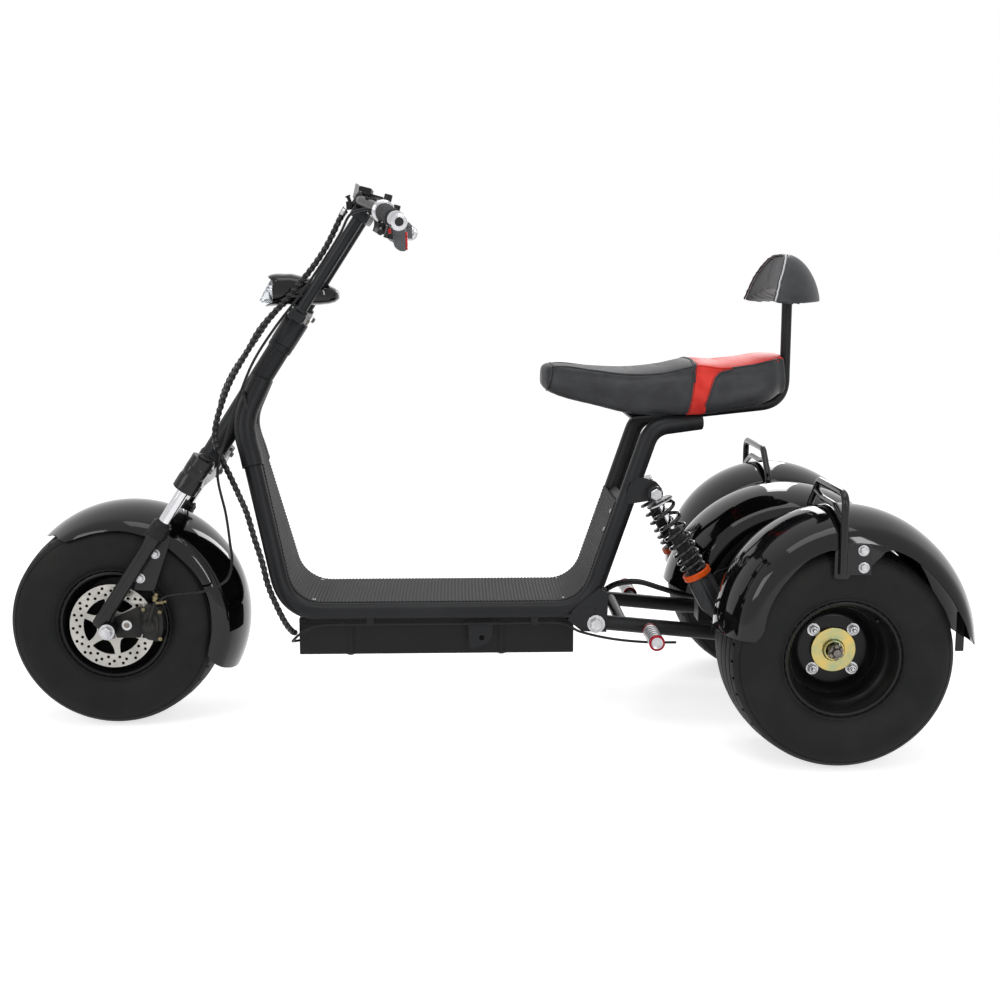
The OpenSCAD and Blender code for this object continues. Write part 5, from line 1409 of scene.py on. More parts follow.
# second bolt that holds the caliper's plate to the leg's lug
ring_at = front_hub + Vector((0.0400, -leg_y - 0.004, 0.0120))
lathe(bm, [(0.0050, 0), (0.0108, 0), (0.0112, 0.003), (0.0104, 0.0055), (0.0060, 0.0055),
           (0.0050, 0.0040)], 32, aim(ring_at, (0, -1, 0)), closed=True)
part_of("front_axle_bolts", bm, bright_steel, "steering", "front_axle", angle=25)
bm = bmesh.new()
lathe(bm, [(0, 0), (0.0065, 0), (0.0065, 0.0035), (0, 0.0035)], 6, aim(ring_at, (0, -1, 0)))
spacer = aim(front_hub, (0, -1, 0))
for low, high in ((0.1057, 0.1210), (-0.1210, -0.1020)):
    lathe(bm, [(0.0061, low), (0.0120, low), (0.0120, high), (0.0061, high)], 32, spacer, closed=True)
part_of("axle_spacers", bm, dark_steel, "steering", angle=25)

# Front fender's plates
# Flat painted plates on the back of each leg, each with two bright bolts.
plate_line = [(0.052, 0.082), (0.094, 0.080), (0.132, 0.188), (0.122, 0.204), (0.100, 0.216),
              (0.078, 0.206), (0.086, 0.170), (0.060, 0.110)]
for side, name in ((-1, "left"), (1, "right")):
    bm = bmesh.new()
    rings = []
    for y in (0.1212, 0.1238):
        rings.append([front_hub + Vector((x, side * y, z)) for x, z in plate_line])
    loft(bm, rings)
    rim_edges = [e for e in bm.edges if abs(e.verts[0].co.y - e.verts[1].co.y) > 0.001]
    soften(bm, rim_edges, 0.004)
    part_of("fender_plate_" + name, bm, leg_paint, "steering",
            side < 0 and "front_fender_stays")
    bm = bmesh.new()
    for x, z in ((0.099, 0.159), (0.066, 0.107)):
        bolt(bm, front_hub + Vector((x, side * 0.1236, z)), (0, side, 0), 0.0130)
    part_of("fender_bolts_" + name, bm, bright_steel, "steering", angle=25)

# Front brake
# Drilled stainless disc with six swept windows and three rings of holes, six countersunk screws on
# its hub, and a cast two-part caliper on a plate, with a brass banjo bolt where the hose enters.
disc_steel = finish_of("disc_steel", (0.44, 0.425, 0.40), (0.33, 0.32, 0.30), 0.36, spread=0.14,
                       grain=1500, height=0.00003, patch=22, metallic=1)
disc_r = 0.090
disc_face = -0.106


def round_loop(corners, bend, steps=5):
    """Closed outline through 2-D corners, each cut back by bend and rounded."""
    made = []
    for i, p in enumerate(corners):
        back = (corners[i - 1] - p).normalized() * bend
        on = (corners[(i + 1) % len(corners)] - p).normalized() * bend
        for k in range(steps + 1):
            t = k / steps
            made.append(p + back * (1 - t) ** 2 + on * t ** 2)
    return made


def spoke(radius, degrees):
    a = math.radians(degrees)
    return Vector((radius * math.cos(a), radius * math.sin(a)))


def plate_from(name, outlines, thick, edge):
    """Flat plate, whose further outlines are holes in the first, made as a filled curve."""
    curve = bpy.data.curves.new(name, "CURVE")
    curve.dimensions = "2D"
    curve.fill_mode = "BOTH"
    curve.extrude = thick / 2 - edge
    curve.bevel_depth = edge
    curve.bevel_resolution = 1
    for outline in outlines:
        line = curve.splines.new("POLY")
        line.points.add(len(outline) - 1)
        for point, p in zip(line.points, outline):
            point.co = (p.x, p.y, 0, 1)
        line.use_cyclic_u = True
    holder = new_object(name + "_curve", curve)
    graph = bpy.context.evaluated_depsgraph_get()
    mesh = bpy.data.meshes.new_from_object(holder.evaluated_get(graph))
    bpy.data.objects.remove(holder)
    bpy.data.curves.remove(curve)
    bm = bmesh.new()
    bm.from_mesh(mesh)
    bpy.data.meshes.remove(mesh)
    bmesh.ops.remove_doubles(bm, verts=bm.verts, dist=1e-6)
    bmesh.ops.recalc_face_normals(bm, faces=bm.faces)
    return bm


outlines = [[spoke(disc_r, 3 * k) for k in range(120)], [spoke(0.0122, 12 * k) for k in range(30)]]
for k in range(6):
    turn = 60 * k + 8
    corners = [spoke(0.0618, turn + a) for a in (-25, -12, 0, 12, 25)]
    corners += [spoke(0.0470, turn + 22), spoke(0.0340, turn + 9), spoke(0.0340, turn - 12),
                spoke(0.0470, turn - 22)]
    outlines.append(round_loop(corners, 0.0042))
for share, shift in ((0.763, 0), (0.85, 10), (0.925, 3)):
    for k in range(18):
        middle = spoke(share * disc_r, 20 * k + shift)
        outlines.append([middle + spoke(0.0035, 24 * j) for j in range(15)])
bm = plate_from("disc", outlines, 0.0038, 0.0003)
disc_place = aim((front_hub.x, disc_face + 0.0019, front_hub.z), (0, -1, 0))
bmesh.ops.transform(bm, matrix=disc_place, verts=bm.verts)
part_of("disc_plate", bm, disc_steel, "front_wheel", "brake_disc", angle=30)
bm = bmesh.new()
for k in range(6):
    out = spoke(0.0225, 60 * k + 30)
    dome_screw(bm, disc_place @ Vector((out.x, out.y, 0.0019)), (0, -1, 0), 0.0050)
part_of("disc_screws", bm, dark_steel, "front_wheel", angle=30)

cast_metal = finish_of("cast_metal", (0.016, 0.016, 0.016), (0.034, 0.033, 0.030), 0.5, spread=0.24,
                       grain=420, height=0.00016, patch=34, radius=0.0015, metallic=0.25)
brass = finish_of("brass", (0.20, 0.165, 0.095), (0.11, 0.095, 0.06), 0.32, spread=0.2, grain=800,
                  height=0.00004, patch=80, metallic=1)


def cast_block(bm, corners, y_from, y_to, bend=0.006, edge=0.0015, origin=front_hub):
    """Cast block with a rounded outline, given from an origin in X and Z, and bevelled rims."""
    line = round_loop([Vector(c) for c in corners], bend, 4)
    middle = sum(line, Vector((0, 0))) / len(line)
    rings = []
    step = math.copysign(edge, y_to - y_from)
    for y, share in ((y_from, 0.93), (y_from + step, 1), (y_to - step, 1), (y_to, 0.93)):
        shrunk = [middle + (p - middle) * share for p in line]
        rings.append([origin + Vector((p.x, y, p.y)) for p in shrunk])
    loft(bm, rings)


body_line = [(0.062, 0.036), (0.078, 0.052), (0.100, 0.046), (0.110, 0.022), (0.108, -0.012),
             (0.100, -0.031), (0.074, -0.026), (0.060, -0.008)]
bm = bmesh.new()
cast_block(bm, body_line, -0.1075, -0.1225)
cast_block(bm, [(0.068, 0.028), (0.086, 0.040), (0.102, 0.022), (0.100, -0.016), (0.078, -0.018),
                (0.067, -0.004)], -0.1215, -0.1275, bend=0.008)
cast_block(bm, [(0.093, 0.044), (0.107, 0.040), (0.109, -0.010), (0.093, -0.022)], -0.0930, -0.1085)
cast_block(bm, [(0.056, 0.034), (0.093, 0.044), (0.100, -0.010), (0.093, -0.022), (0.056, -0.012)],
           -0.0935, -0.0985)
cast_block(bm, [(0.006, 0.020), (0.060, 0.046), (0.066, 0.020), (0.062, -0.022), (0.010, -0.022)],
           -0.1150, -0.1205, bend=0.004, edge=0.0006)
place = aim(front_hub + Vector((0.081, -0.1265, 0.004)), (0, -1, 0))
lathe(bm, [(0, 0), (0.0135, 0), (0.0140, 0.003), (0.0125, 0.0055), (0.0060, 0.0062), (0, 0.0060)],
      40, place)
lever = [front_hub + Vector(p) for p in ((0.080, -0.1310, 0.006), (0.088, -0.1312, 0.034),
                                         (0.098, -0.1300, 0.060))]
tube(bm, lever, [0.0050, 0.0042, 0.0036], 14)
part_of("caliper_castings", bm, cast_metal, "steering", "front_caliper", 40)
bm = bmesh.new()
for x, z in ((0.070, 0.040), (0.103, -0.024), (0.104, 0.034)):
    bolt(bm, front_hub + Vector((x, -0.1222, z)), (0, -1, 0), 0.0085, washer=False)
place = aim(front_hub + Vector((0.0955, -0.1330, 0.0600)), (0.35, 0.0, 1))
lathe(bm, [(0, 0), (0.0050, 0), (0.0050, 0.006), (0.0072, 0.0065), (0.0072, 0.0110), (0.0050, 0.0115),
           (0.0050, 0.0180), (0.0036, 0.0190), (0, 0.0190)], 20, place)
place = aim(front_hub + Vector((0.104, -0.130, 0.0565)), (0.92, 0, 0.15))
lathe(bm, [(0, -0.006), (0.0042, -0.006), (0.0042, 0.004), (0.0056, 0.0045), (0.0056, 0.010),
           (0.0036, 0.0105), (0.0036, 0.017), (0, 0.017)], 20, place)
part_of("caliper_fittings", bm, brass, "steering", angle=25)

# Stem and handlebar
# Two satin black risers stand on a yoke above the head tube and carry a top clamp for the bent
# alloy bar. Grips in dark ribbed rubber lie between polished rings.
riser_y = 0.058
riser_paint = finish_of("riser_paint", (0.014, 0.015, 0.017), (0.022, 0.023, 0.025), 0.34,
                        spread=0.14, grain=1300, height=0.00003, patch=8, radius=0.001)
bar_alloy = finish_of("bar_alloy", (0.54, 0.54, 0.56), (0.44, 0.44, 0.46), 0.2, spread=0.14,
                      grain=1400, height=0.00002, patch=26, metallic=1, wear=0)
steer_turn = aim(at_steer(0, 0, 0), steer_axis)
steer_frame = Matrix.Translation(at_steer(0, 0, 0)) @ Matrix.Rotation(steer_rake, 4, "Y")
bm = bmesh.new()
lathe(bm, [(0.0160, -0.0605), (0.0262, -0.0605), (0.0268, -0.0590), (0.0268, -0.0020),
           (0.0262, 0), (0.0160, 0)], 64, steer_turn, closed=True)
block(bm, steer_frame, (-0.018, -0.074, 0), (0.018, 0.074, 0.024), 0.006, 4)
for side in (-1, 1):
    place = aim(at_steer(0, side * riser_y, 0), steer_axis)
    lathe(bm, [(0, 0.004), (0.0118, 0.004), (0.0122, 0.006), (0.0122, 0.247), (0, 0.247)], 48, place)
    lathe(bm, [(0.0120, 0.0235), (0.0172, 0.0235), (0.0172, 0.0275), (0.0150, 0.0300),
               (0.0120, 0.0300)], 48, place, closed=True)
block(bm, steer_frame, (-0.020, -0.073, 0.247), (0.020, 0.073, 0.2695), 0.004, 3)
for side in (-1, 1):
    block(bm, steer_frame, (-0.0305, side * 0.034 - 0.013, 0.2690), (0.0025, side * 0.034 + 0.013, 0.297),
          0.004, 3)
part_of("stem", bm, riser_paint, "steering", "riser_bars", angle=40)
bm = bmesh.new()
for side in (-1, 1):
    for x in (-0.0265, -0.0015):
        bolt(bm, steer_frame @ Vector((x, side * 0.034, 0.2965)), steer_axis, 0.0078, washer=False)
    bolt(bm, at_steer(0.0225, side * riser_y, 0.0120), steer_back, 0.0095)
part_of("stem_bolts", bm, dark_steel, "steering", angle=25)

bar_r = 0.011
bar_up = 0.272 + bar_r
bar_line = [at_steer(-0.014, -0.078, bar_up), Vector((-0.174, -0.180, 1.088)),
            Vector((-0.1285, -0.345, 1.0568))]
bm = bmesh.new()
tube(bm, rounded(bar_line[::-1] + flipped(bar_line), [0, 0.06, 0.08, 0.08, 0.06, 0], 14), bar_r, 32)
part_of("bar", bm, leg_paint, "steering", "handlebar")

# Grips
# Ribbed dark rubber sleeves between a polished flange and a long alloy end piece with a dark hole.
grip_rubber = finish_of("grip_rubber", (0.030, 0.031, 0.033), (0.050, 0.050, 0.052), 0.55,
                        spread=0.2, grain=800, height=0.00006, patch=30)
for side, name, turn in ((-1, "left", list), (1, "right", flipped)):
    inner, end = turn(bar_line)[1:]
    on = (end - inner).normalized()
    place = aim(inner, on)
    long = (end - inner).length
    ribs = []
    count = 20
    first, last = 0.050, long - 0.046
    step = (last - first) / count
    for k in range(count):
        z = first + step * k
        ribs += [(0.0172, z), (0.0180, z + step * 0.15), (0.0180, z + step * 0.6),
                 (0.0172, z + step * 0.75)]
    bm = bmesh.new()
    lathe(bm, [(0.0112, 0.0445), (0.0160, 0.0445)] + ribs + [(0.0172, last), (0.0112, last)], 48,
          place, closed=True)
    part_of("grip_" + name, bm, grip_rubber, "steering", side < 0 and "grips")
    bm = bmesh.new()
    lathe(bm, [(0.0112, 0.0330), (0.0215, 0.0330), (0.0232, 0.0345), (0.0232, 0.0385),
               (0.0220, 0.0400), (0.0190, 0.0418), (0.0180, 0.0450), (0.0112, 0.0450)], 56, place,
          closed=True)
    lathe(bm, [(0.0112, last), (0.0150, last), (0.0156, last + 0.0012), (0.0156, last + 0.0170),
               (0.0172, last + 0.0190), (0.0174, last + 0.0430), (0.0160, last + 0.0458),
               (0.0088, last + 0.0464), (0.0080, last + 0.0454), (0.0080, last + 0.0340),
               (0.0020, last + 0.0335), (0.0020, last - 0.0020), (0.0112, last - 0.0020)],
          56, place, closed=True)
    part_of("grip_rings_" + name, bm, bar_alloy, "steering")

# Brake levers
# Short black levers ahead of the grips, each in a clamp with a threaded mirror boss on top. Under
# each clamp hangs a grey plastic switch pod with small red keys.
lever_paint = finish_of("lever_paint", (0.010, 0.010, 0.011), (0.018, 0.018, 0.019), 0.36,
                        spread=0.16, grain=900, height=0.00003, patch=40)
pod_grey = finish_of("pod_grey", (0.10, 0.105, 0.112), (0.14, 0.145, 0.15), 0.42, spread=0.16,
                     grain=1000, height=0.00004, patch=40)
key_red = finish_of("key_red", (0.70, 0.030, 0.030), (0.56, 0.020, 0.022), 0.34, spread=0.12,
                    grain=800, height=0.00002, patch=60)
for side, name, turn in ((-1, "left", list), (1, "right", flipped)):
    inner, end = turn(bar_line)[1:]
    on = (end - inner).normalized()
    hold = inner + on * 0.023
    bm = bmesh.new()
    lathe(bm, [(0.0113, 0.0120), (0.0160, 0.0120), (0.0172, 0.0132), (0.0172, 0.0328),
               (0.0160, 0.0340), (0.0113, 0.0340)], 40, aim(inner, on), closed=True)
    perch = hold + Vector((-0.004, 0, -0.034))
    tip = end - on * 0.006 + Vector((-0.034, 0, -0.020))
    tube(bm, [hold, hold + Vector((-0.003, 0, -0.014)), perch], [0.0120, 0.0128, 0.0120], 24)
    lathe(bm, [(0, -0.0095), (0.0118, -0.0095), (0.0128, -0.0085), (0.0128, 0.0085),
               (0.0118, 0.0095), (0, 0.0095)], 32, aim(perch, (0.3, 0, 1)))
    lever = [perch + (tip - perch) * t + Vector((-0.006 * math.sin(math.pi * t), 0, 0))
             for t in [k / 12 for k in range(13)]]
    tube(bm, lever, [0.0062 - 0.0018 * k / 12 for k in range(11)] + [0.0052, 0.0058], 20)
    lathe(bm, [(0, 0), (0.0080, 0), (0.0080, 0.0315), (0.0072, 0.0322), (0.0042, 0.0322),
               (0.0040, 0.0312), (0.0040, 0.0192), (0, 0.0192)], 32,
          aim(hold + Vector((0.006, 0, 0.0)), (0.26, 0, 1)))
    part_of("lever_" + name, bm, lever_paint, "steering", side < 0 and "brake_levers")
    low = 0.036 if side < 0 else 0
    paddle = [(0.020, -0.020), (0.046, -0.020), (0.047, -0.043 - low), (0.035, -0.0425 - low),
              (0.026, -0.036 - low), (0.023, -0.028 - low)]
    bm = bmesh.new()
    cast_block(bm, paddle, side * 0.006, side * 0.028, 0.004, 0.002, hold)
    part_of("pod_" + name, bm, pod_grey, "steering", angle=40)
    bm = bmesh.new()
    if side < 0:
        for z in (-0.046, -0.055, -0.064, -0.072):
            block(bm, Matrix.Translation(hold + Vector((0.047, side * 0.017, z))),
                  (-0.0015, -0.007, -0.0045), (0.0035, 0.007, 0.0045), 0.0014, 2)
    block(bm, Matrix.Translation(hold + Vector((0.016, side * 0.022, -0.040))),
          (-0.003, -0.005, -0.005), (0.003, 0.005, 0.005), 0.0014, 2)
    part_of("keys_" + name, bm, key_red, "steering", angle=40)

# Display
# A tilted black box ahead of the bar with a dark glass face, and a thin tray under it that reaches
# back over the clamp.
glass_dark = finish_of("glass_dark", (0.006, 0.007, 0.009), (0.009, 0.010, 0.012), 0.06,
                       spread=0.04, grain=300, height=0.000004, patch=8, coat=0.6, wear=0)
dash_plastic = finish_of("dash_plastic", (0.011, 0.011, 0.012), (0.018, 0.018, 0.019), 0.5,
                         spread=0.16, grain=1500, height=0.00005, patch=20)
dash_silver = finish_of("dash_silver", (0.42, 0.42, 0.43), (0.34, 0.34, 0.35), 0.38, spread=0.12,
                        grain=1200, height=0.00003, patch=30)
dash_at = Vector((-0.21, 0, 1.12))
bm = bmesh.new()
cast_block(bm, [(-0.0122, 0.0225), (0.0132, 0.0163), (0.0107, 0.0061), (-0.0009, 0.0075),
                (-0.0026, -0.0081), (-0.0055, -0.0140), (-0.0165, -0.0124)],
           -0.036, 0.036, 0.0018, 0.0015, dash_at)
cast_block(bm, [(-0.004, 0.0095), (0.038, -0.0020), (0.037, -0.0062), (-0.005, 0.0052)],
           -0.058, 0.058, 0.0012, 0.0008, dash_at)
cast_block(bm, [(-0.041, -0.0093), (-0.0262, -0.0093), (-0.0279, -0.0250), (-0.0404, -0.0264)],
           -0.036, -0.010, 0.002, 0.0012, dash_at)
cast_block(bm, [(-0.030, -0.010), (-0.012, -0.006), (-0.012, -0.020), (-0.030, -0.020)],
           -0.030, 0.030, 0.002, 0.0012, dash_at)
cast_block(bm, [(0.0044, -0.004), (0.029, -0.0093), (0.0233, -0.0232), (0.0230, -0.0427),
                (0.0117, -0.0400), (0.0062, -0.0288)], -0.100, -0.126, 0.003, 0.0015, dash_at)
lathe(bm, [(0, 0), (0.0036, 0), (0.0036, 0.010), (0.0056, 0.0108), (0.0056, 0.0135), (0, 0.014)], 20,
      aim(dash_at + Vector((-0.0335, -0.020, -0.0095)), (-0.4, 0, 1)))
lathe(bm, [(0, 0), (0.0125, 0), (0.0130, 0.003), (0.0105, 0.0062), (0.0070, 0.0062),
           (0.0062, 0.0036), (0, 0.0036)], 32, aim(dash_at + Vector((-0.012, -0.031, -0.021)), (0, -1, 0)))
part_of("dash_case", bm, dash_plastic, "steering", "dash", angle=40)
bm = bmesh.new()
cast_block(bm, [(-0.0200, 0.0281), (-0.0125, 0.0240), (-0.0163, -0.0097), (-0.0270, -0.0020)],
           -0.0375, 0.0375, 0.002, 0.0014, dash_at)
part_of("dash_back", bm, dash_silver, "steering", angle=40)
bm = bmesh.new()
cast_block(bm, [(-0.0100, 0.0226), (0.0112, 0.0175), (0.0108, 0.0158), (-0.0104, 0.0210)],
           -0.029, 0.029, 0.0004, 0.0004, dash_at)
part_of("dash_glass", bm, glass_dark, "steering", angle=40)

# socket for the harness under the display
socket_low = at_steer(-0.0345, -0.033, 0.2485)
bm = bmesh.new()
lathe(bm, [(0.0052, 0), (0.0072, 0), (0.0076, 0.001), (0.0076, 0.0060), (0.0066, 0.0066),
           (0.0066, 0.0140), (0.0052, 0.0145)], 28,
      aim(socket_low, at_steer(-0.032, -0.042, 0.224) - socket_low), closed=True)
part_of("loom_socket", bm, bright_steel, "steering")

# Headlamp
# Gloss black shell between the risers that swells forward under a thin visor, with a bright bowl
# and a clear domed lens in front.
lamp_rows = [
    # x, half width, top, bottom: from the top of the stem head
    (-0.0450, 0.0520, 0.0940, 0.0340), (-0.0300, 0.0555, 0.0966, 0.0320),
    (-0.0080, 0.0455, 0.0970, 0.0312), (0.0200, 0.0452, 0.0900, 0.0308),
    (0.0500, 0.0450, 0.0810, 0.0312), (0.0700, 0.0380, 0.0720, 0.0335),
    (0.0820, 0.0310, 0.0660, 0.0370), (0.0895, 0.0180, 0.0590, 0.0430),
]
lamp_at = at_steer(0, 0, 0)


lamp_power = 0.62


def swell(value):
    """A cosine or sine pushed outwards, which makes an ellipse squarer."""
    return math.copysign(abs(value) ** lamp_power, value)


def lamp_ring(x, half, top, low, n=56):
    ring = []
    for k in range(n):
        a = 2 * math.pi * k / n
        ring.append(lamp_at + Vector((x, half * swell(math.cos(a)),
                                      (top + low) / 2 + (top - low) / 2 * swell(math.sin(a)))))
    return ring


bm = bmesh.new()
loft(bm, [lamp_ring(*row) for row in lamp_rows])
part_of("lamp_shell", bm, gloss_black, "steering", "headlamp", angle=50)
# visor and lower lip: thin curved edges that run on ahead of the shell
visor_from, visor_half, visor_mid, visor_high = -0.030, 0.0562, 0.0643, 0.0330
bm = bmesh.new()
for start, stop, low_x, lift in ((22, 158, -0.0575, -0.004), (212, 328, -0.0640, -0.0012)):
    rows = []
    for x, drop, share in ((visor_from, 0, 1.0), (-0.0400, 0, 1.0), (-0.0475, 0.25, 0.995),
                           (-0.0535, 0.7, 0.985), (low_x, 1.3, 0.96)):
        row = []
        for k in range(29):
            a = math.radians(start + (stop - start) * k / 28)
            edge = 1 - abs(2 * k / 28 - 1) ** 2.5
            row.append(lamp_at + Vector((
                visor_from + (x - visor_from) * (0.25 + 0.75 * edge),
                visor_half * share * swell(math.cos(a)),
                visor_mid + lift * drop + visor_high * swell(math.sin(a)))))
        rows.append(row)
    made = []
    for row in rows:
        line = [bm.verts.new(p) for p in row]
        made.append([bm.edges.new(pair) for pair in zip(line, line[1:])])
    for a, b in zip(made, made[1:]):
        bmesh.ops.bridge_loops(bm, edges=a + b)
bmesh.ops.recalc_face_normals(bm, faces=bm.faces)
bmesh.ops.solidify(bm, geom=bm.faces[:], thickness=0.0022)
bmesh.ops.recalc_face_normals(bm, faces=bm.faces)
part_of("lamp_visor", bm, gloss_black, "steering", angle=50)

# bright bowl with its bulb, and the clear lens with fine upright flutes
bm = bmesh.new()
bowl = [(-0.0460, 0.0500, 0.0920, 0.0352), (-0.0452, 0.0505, 0.0925, 0.0350),
        (-0.0452, 0.0300, 0.0780, 0.0500), (-0.0453, 0.0060, 0.0660, 0.0610)]
loft(bm, [lamp_ring(*row) for row in bowl])
lathe(bm, [(0, 0), (0.0080, 0), (0.0080, 0.006), (0.0060, 0.009), (0.0060, 0.016), (0.0035, 0.020),
           (0, 0.021)], 28, aim(lamp_at + Vector((-0.0455, 0, 0.064)), (-1, 0, 0)))
for side in (-1, 1):
    lathe(bm, [(0, 0), (0.0150, 0.001), (0.0165, 0.007), (0.0150, 0.0078), (0.0060, 0.0030), (0, 0.0025)],
          32, aim(lamp_at + Vector((-0.0455, side * 0.026, 0.062)), (-1, 0, 0)))
part_of("lamp_bowl", bm, chrome, "steering", angle=40)

lens_clear, tree = new_look("lens_clear")
place = node_of(tree, "TexCoord").outputs["Object"]
cloud = node_of(tree, "TexNoise", {"Vector": place, "Scale": 90}).outputs[0]
shade = node_of(tree, "ValToRGB", {"Fac": cloud})
shade.color_ramp.elements[0].color = (0.86, 0.90, 0.95, 1)
shade.color_ramp.elements[1].color = (0.95, 0.97, 0.98, 1)
haze = node_of(tree, "MapRange", {"Value": cloud, "To Min": 0.04, "To Max": 0.16})
flutes = node_of(tree, "TexWave", {"Vector": place, "Scale": 60}, bands_direction="Y")
ridge = node_of(tree, "Bump", {"Strength": 0.4, "Distance": 0.0006,
                               "Height": flutes.outputs["Color"]})
fill(tree, tree.nodes["Principled BSDF"], {
    "Transmission Weight": 0.9, "IOR": 1.4, "Base Color": shade.outputs["Color"],
    "Roughness": haze.outputs[0], "Normal": ridge.outputs[0],
})
bm = bmesh.new()
lens = [(-0.0464, 0.0496, 0.0916, 0.0356), (-0.0500, 0.0494, 0.0875, 0.0352),
        (-0.0560, 0.0478, 0.0770, 0.0350), (-0.0640, 0.0440, 0.0630, 0.0352),
        (-0.0710, 0.0370, 0.0500, 0.0362), (-0.0750, 0.0270, 0.0425, 0.0375)]
loft(bm, [lamp_ring(*row) for row in lens])
part_of("lamp_lens", bm, lens_clear, "steering", "headlamp_lens", angle=50)

# Wiring and hoses
# A spiral-wrapped black loom runs from the display past the lamp and down the neck to the battery
# box, with a short second branch from the lamp. The brake hose leaves it and loops to the caliper.


def at_front(x, y, z):
    """A point from the front wheel's hub."""
    return front_hub + Vector((x, y, z))


def at_rear(x, y, z):
    """A point from the middle of the rear axle."""
    return Vector((rear_hub_x + x, y, hub_height + z))


def curve_through(points, steps=8):
    """Smooth curve through points."""
    points = [Vector(p) for p in points]
    path = []
    for i in range(len(points) - 1):
        a, b = points[max(i - 1, 0)], points[i]
        c, d = points[i + 1], points[min(i + 2, len(points) - 1)]
        m0, m1 = (c - a) / 2, (d - b) / 2
        for k in range(steps):
            t = k / steps
            path.append((2 * t ** 3 - 3 * t ** 2 + 1) * b + (t ** 3 - 2 * t ** 2 + t) * m0
                        + (3 * t ** 2 - 2 * t ** 3) * c + (t ** 3 - t ** 2) * m1)
    return path + [points[-1]]


def wrap_round(bm, path, radius, pitch, wide, thick):
    """Flat band wound round a path, as a helix."""
    runs = [0.0]
    for a, b in zip(path, path[1:]):
        runs.append(runs[-1] + (b - a).length)
    across = None
    frames = []
    for i, p in enumerate(path):
        on = (path[min(i + 1, len(path) - 1)] - path[max(i - 1, 0)]).normalized()
        if across is None:
            across = on.orthogonal()
        across = (across - on * across.dot(on)).normalized()
        frames.append((p, on, across.copy(), on.cross(across)))
    rings = []
    total = int(runs[-1] / pitch * 14)
    i = 0
    for k in range(total + 1):
        s = min(runs[-1], runs[-1] * k / total)
        while i < len(path) - 2 and runs[i + 1] < s:
            i += 1
        t = (s - runs[i]) / (runs[i + 1] - runs[i])
        p, on, u, v = [frames[i][j].lerp(frames[i + 1][j], t) for j in range(4)]
        a = 2 * math.pi * s / pitch
        out = (u * math.cos(a) + v * math.sin(a)).normalized()
        rings.append([p + out * (radius - thick) - on * wide, p + out * (radius + thick) - on * wide * 0.7,
                      p + out * (radius + thick) + on * wide * 0.7, p + out * (radius - thick) + on * wide])
    loft(bm, rings)


cable_skin = finish_of("cable_skin", (0.006, 0.006, 0.0065), (0.012, 0.012, 0.013), 0.34, spread=0.2,
                       grain=600, height=0.00004, patch=60)
wrap_skin = finish_of("wrap_skin", (0.010, 0.010, 0.011), (0.022, 0.022, 0.024), 0.2, spread=0.16,
                      grain=500, height=0.00004, patch=90, coat=0.4)
loom_path = [at_steer(*p) for p in (
    (-0.035, -0.030, 0.250), (-0.034, -0.036, 0.238), (-0.031, -0.044, 0.217),
    (-0.027, -0.050, 0.186), (-0.025, -0.052, 0.147), (-0.028, -0.054, 0.097),
    (-0.037, -0.062, 0.026), (-0.049, -0.066, -0.048), (-0.048, -0.064, -0.100),
    (-0.045, -0.066, -0.174), (-0.034, -0.070, -0.232), (-0.018, -0.074, -0.281),
    (0.002, -0.078, -0.308), (0.033, -0.084, -0.329), (0.064, -0.092, -0.347),
)] + [at_front(*p) for p in (
    (0.274, -0.104, 0.280), (0.292, -0.122, 0.245), (0.308, -0.136, 0.195),
    (0.324, -0.144, 0.145), (0.336, -0.148, 0.095), (0.352, -0.144, 0.050),
    (0.368, -0.132, 0.010), (0.379, -0.106, -0.015), (0.383, -0.090, -0.021),
)]
bm = bmesh.new()
path = curve_through(loom_path)
tube(bm, path, 0.0054, 16)
loom = part_of("loom", bm, cable_skin, None, "wiring_harness")
bm = bmesh.new()
wrap_round(bm, path, 0.0058, 0.0135, 0.0042, 0.0009)
wrap = part_of("loom_wrap", bm, wrap_skin, None)
branch_path = curve_through([at_steer(*p) for p in (
    (-0.020, -0.020, 0.040), (-0.037, -0.034, 0.018), (-0.046, -0.040, -0.030),
    (-0.048, -0.042, -0.090), (-0.052, -0.048, -0.150), (-0.047, -0.056, -0.200),
    (-0.036, -0.064, -0.236),
)])
bm = bmesh.new()
tube(bm, branch_path, 0.0042, 14)
branch = part_of("loom_branch", bm, cable_skin, None)
bm = bmesh.new()
wrap_round(bm, branch_path, 0.0046, 0.0120, 0.0036, 0.0008)
branch_wrap = part_of("branch_wrap", bm, wrap_skin, None)
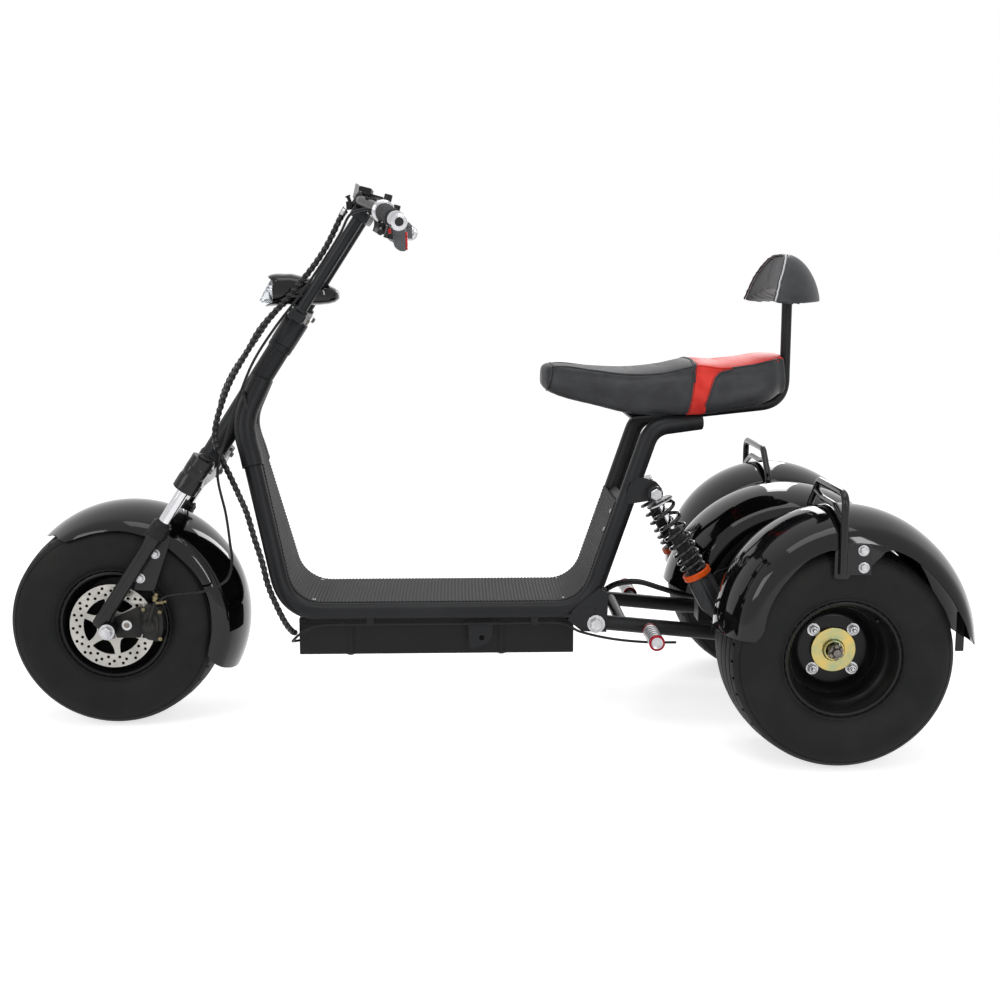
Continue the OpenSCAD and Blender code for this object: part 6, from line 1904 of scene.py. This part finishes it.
hose_path = curve_through([at_steer(*p) for p in (
    (0.029, -0.195, 0.281), (0.009, -0.192, 0.270), (-0.009, -0.168, 0.246),
    (-0.009, -0.124, 0.203), (-0.011, -0.096, 0.136), (-0.015, -0.088, 0.055),
    (-0.023, -0.090, -0.031), (-0.023, -0.094, -0.117), (-0.007, -0.100, -0.202),
    (0.014, -0.106, -0.279), (0.038, -0.118, -0.349),
)] + [at_front(*p) for p in (
    (0.251, -0.136, 0.245), (0.259, -0.146, 0.190), (0.263, -0.152, 0.145),
    (0.249, -0.156, 0.107), (0.202, -0.154, 0.085), (0.154, -0.148, 0.079),
    (0.120, -0.140, 0.071), (0.104, -0.130, 0.057),
)], 10)
bm = bmesh.new()
tube(bm, hose_path, 0.0028, 14)
part_of("front_hose", bm, cable_skin, "steering", "front_brake_hose")
for piece in (loom, wrap, branch, branch_wrap):
    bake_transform(piece)

# hoses to the rear brake, and the thin line clipped under the left deck tube
bm = bmesh.new()
for dy in (0, 0.014):
    tube(bm, curve_through([at_rear(x, y + dy, z) for x, y, z in (
        (-0.491, -0.040, -0.005), (-0.472, -0.040, 0.007), (-0.438, -0.041, 0.041),
        (-0.400, -0.042, 0.067), (-0.352, -0.044, 0.073), (-0.302, -0.046, 0.059),
        (-0.255, -0.048, 0.045), (-0.208, -0.050, 0.0412),
    )]), 0.0048, 16)
line_path = curve_through([at_front(*p) for p in (
    (0.388, -0.050, -0.049), (0.378, -0.074, -0.045), (0.380, -0.104, -0.035),
    (0.402, -0.122, -0.013), (0.438, -0.126, 0.003), (0.494, -0.126, 0.005),
)] + [at_rear(*p) for p in (
    (-0.662, -0.126, 0.005), (-0.532, -0.126, 0.005), (-0.486, -0.142, -0.011),
    (-0.422, -0.148, -0.025), (-0.352, -0.148, -0.033), (-0.282, -0.146, -0.035),
)])
tube(bm, line_path, 0.0028, 12)
part_of("rear_lines", bm, cable_skin, "frame", "rear_hoses")
bm = bmesh.new()
for x, tall in ((-0.208, 0.034), (0.140, 0.026)):
    block(bm, upright, (x - 0.008, -0.1300, 0.2265), (x + 0.008, -0.1215, 0.2265 + tall),
          0.0012, 2)
part_of("line_clips", bm, cable_skin, "frame", angle=40)

# Rest of the frame
# Painted steel that keeps its plain form: brackets, cross members, swing arm, fender stays, seat
# plate, axle tube and rear brake.
dress(frame_paint, "cross_members", "frame_brackets", "swing_arm", "rear_axle", "seat_base",
      "fender_stays")
dress(cast_metal, "rear_brake")
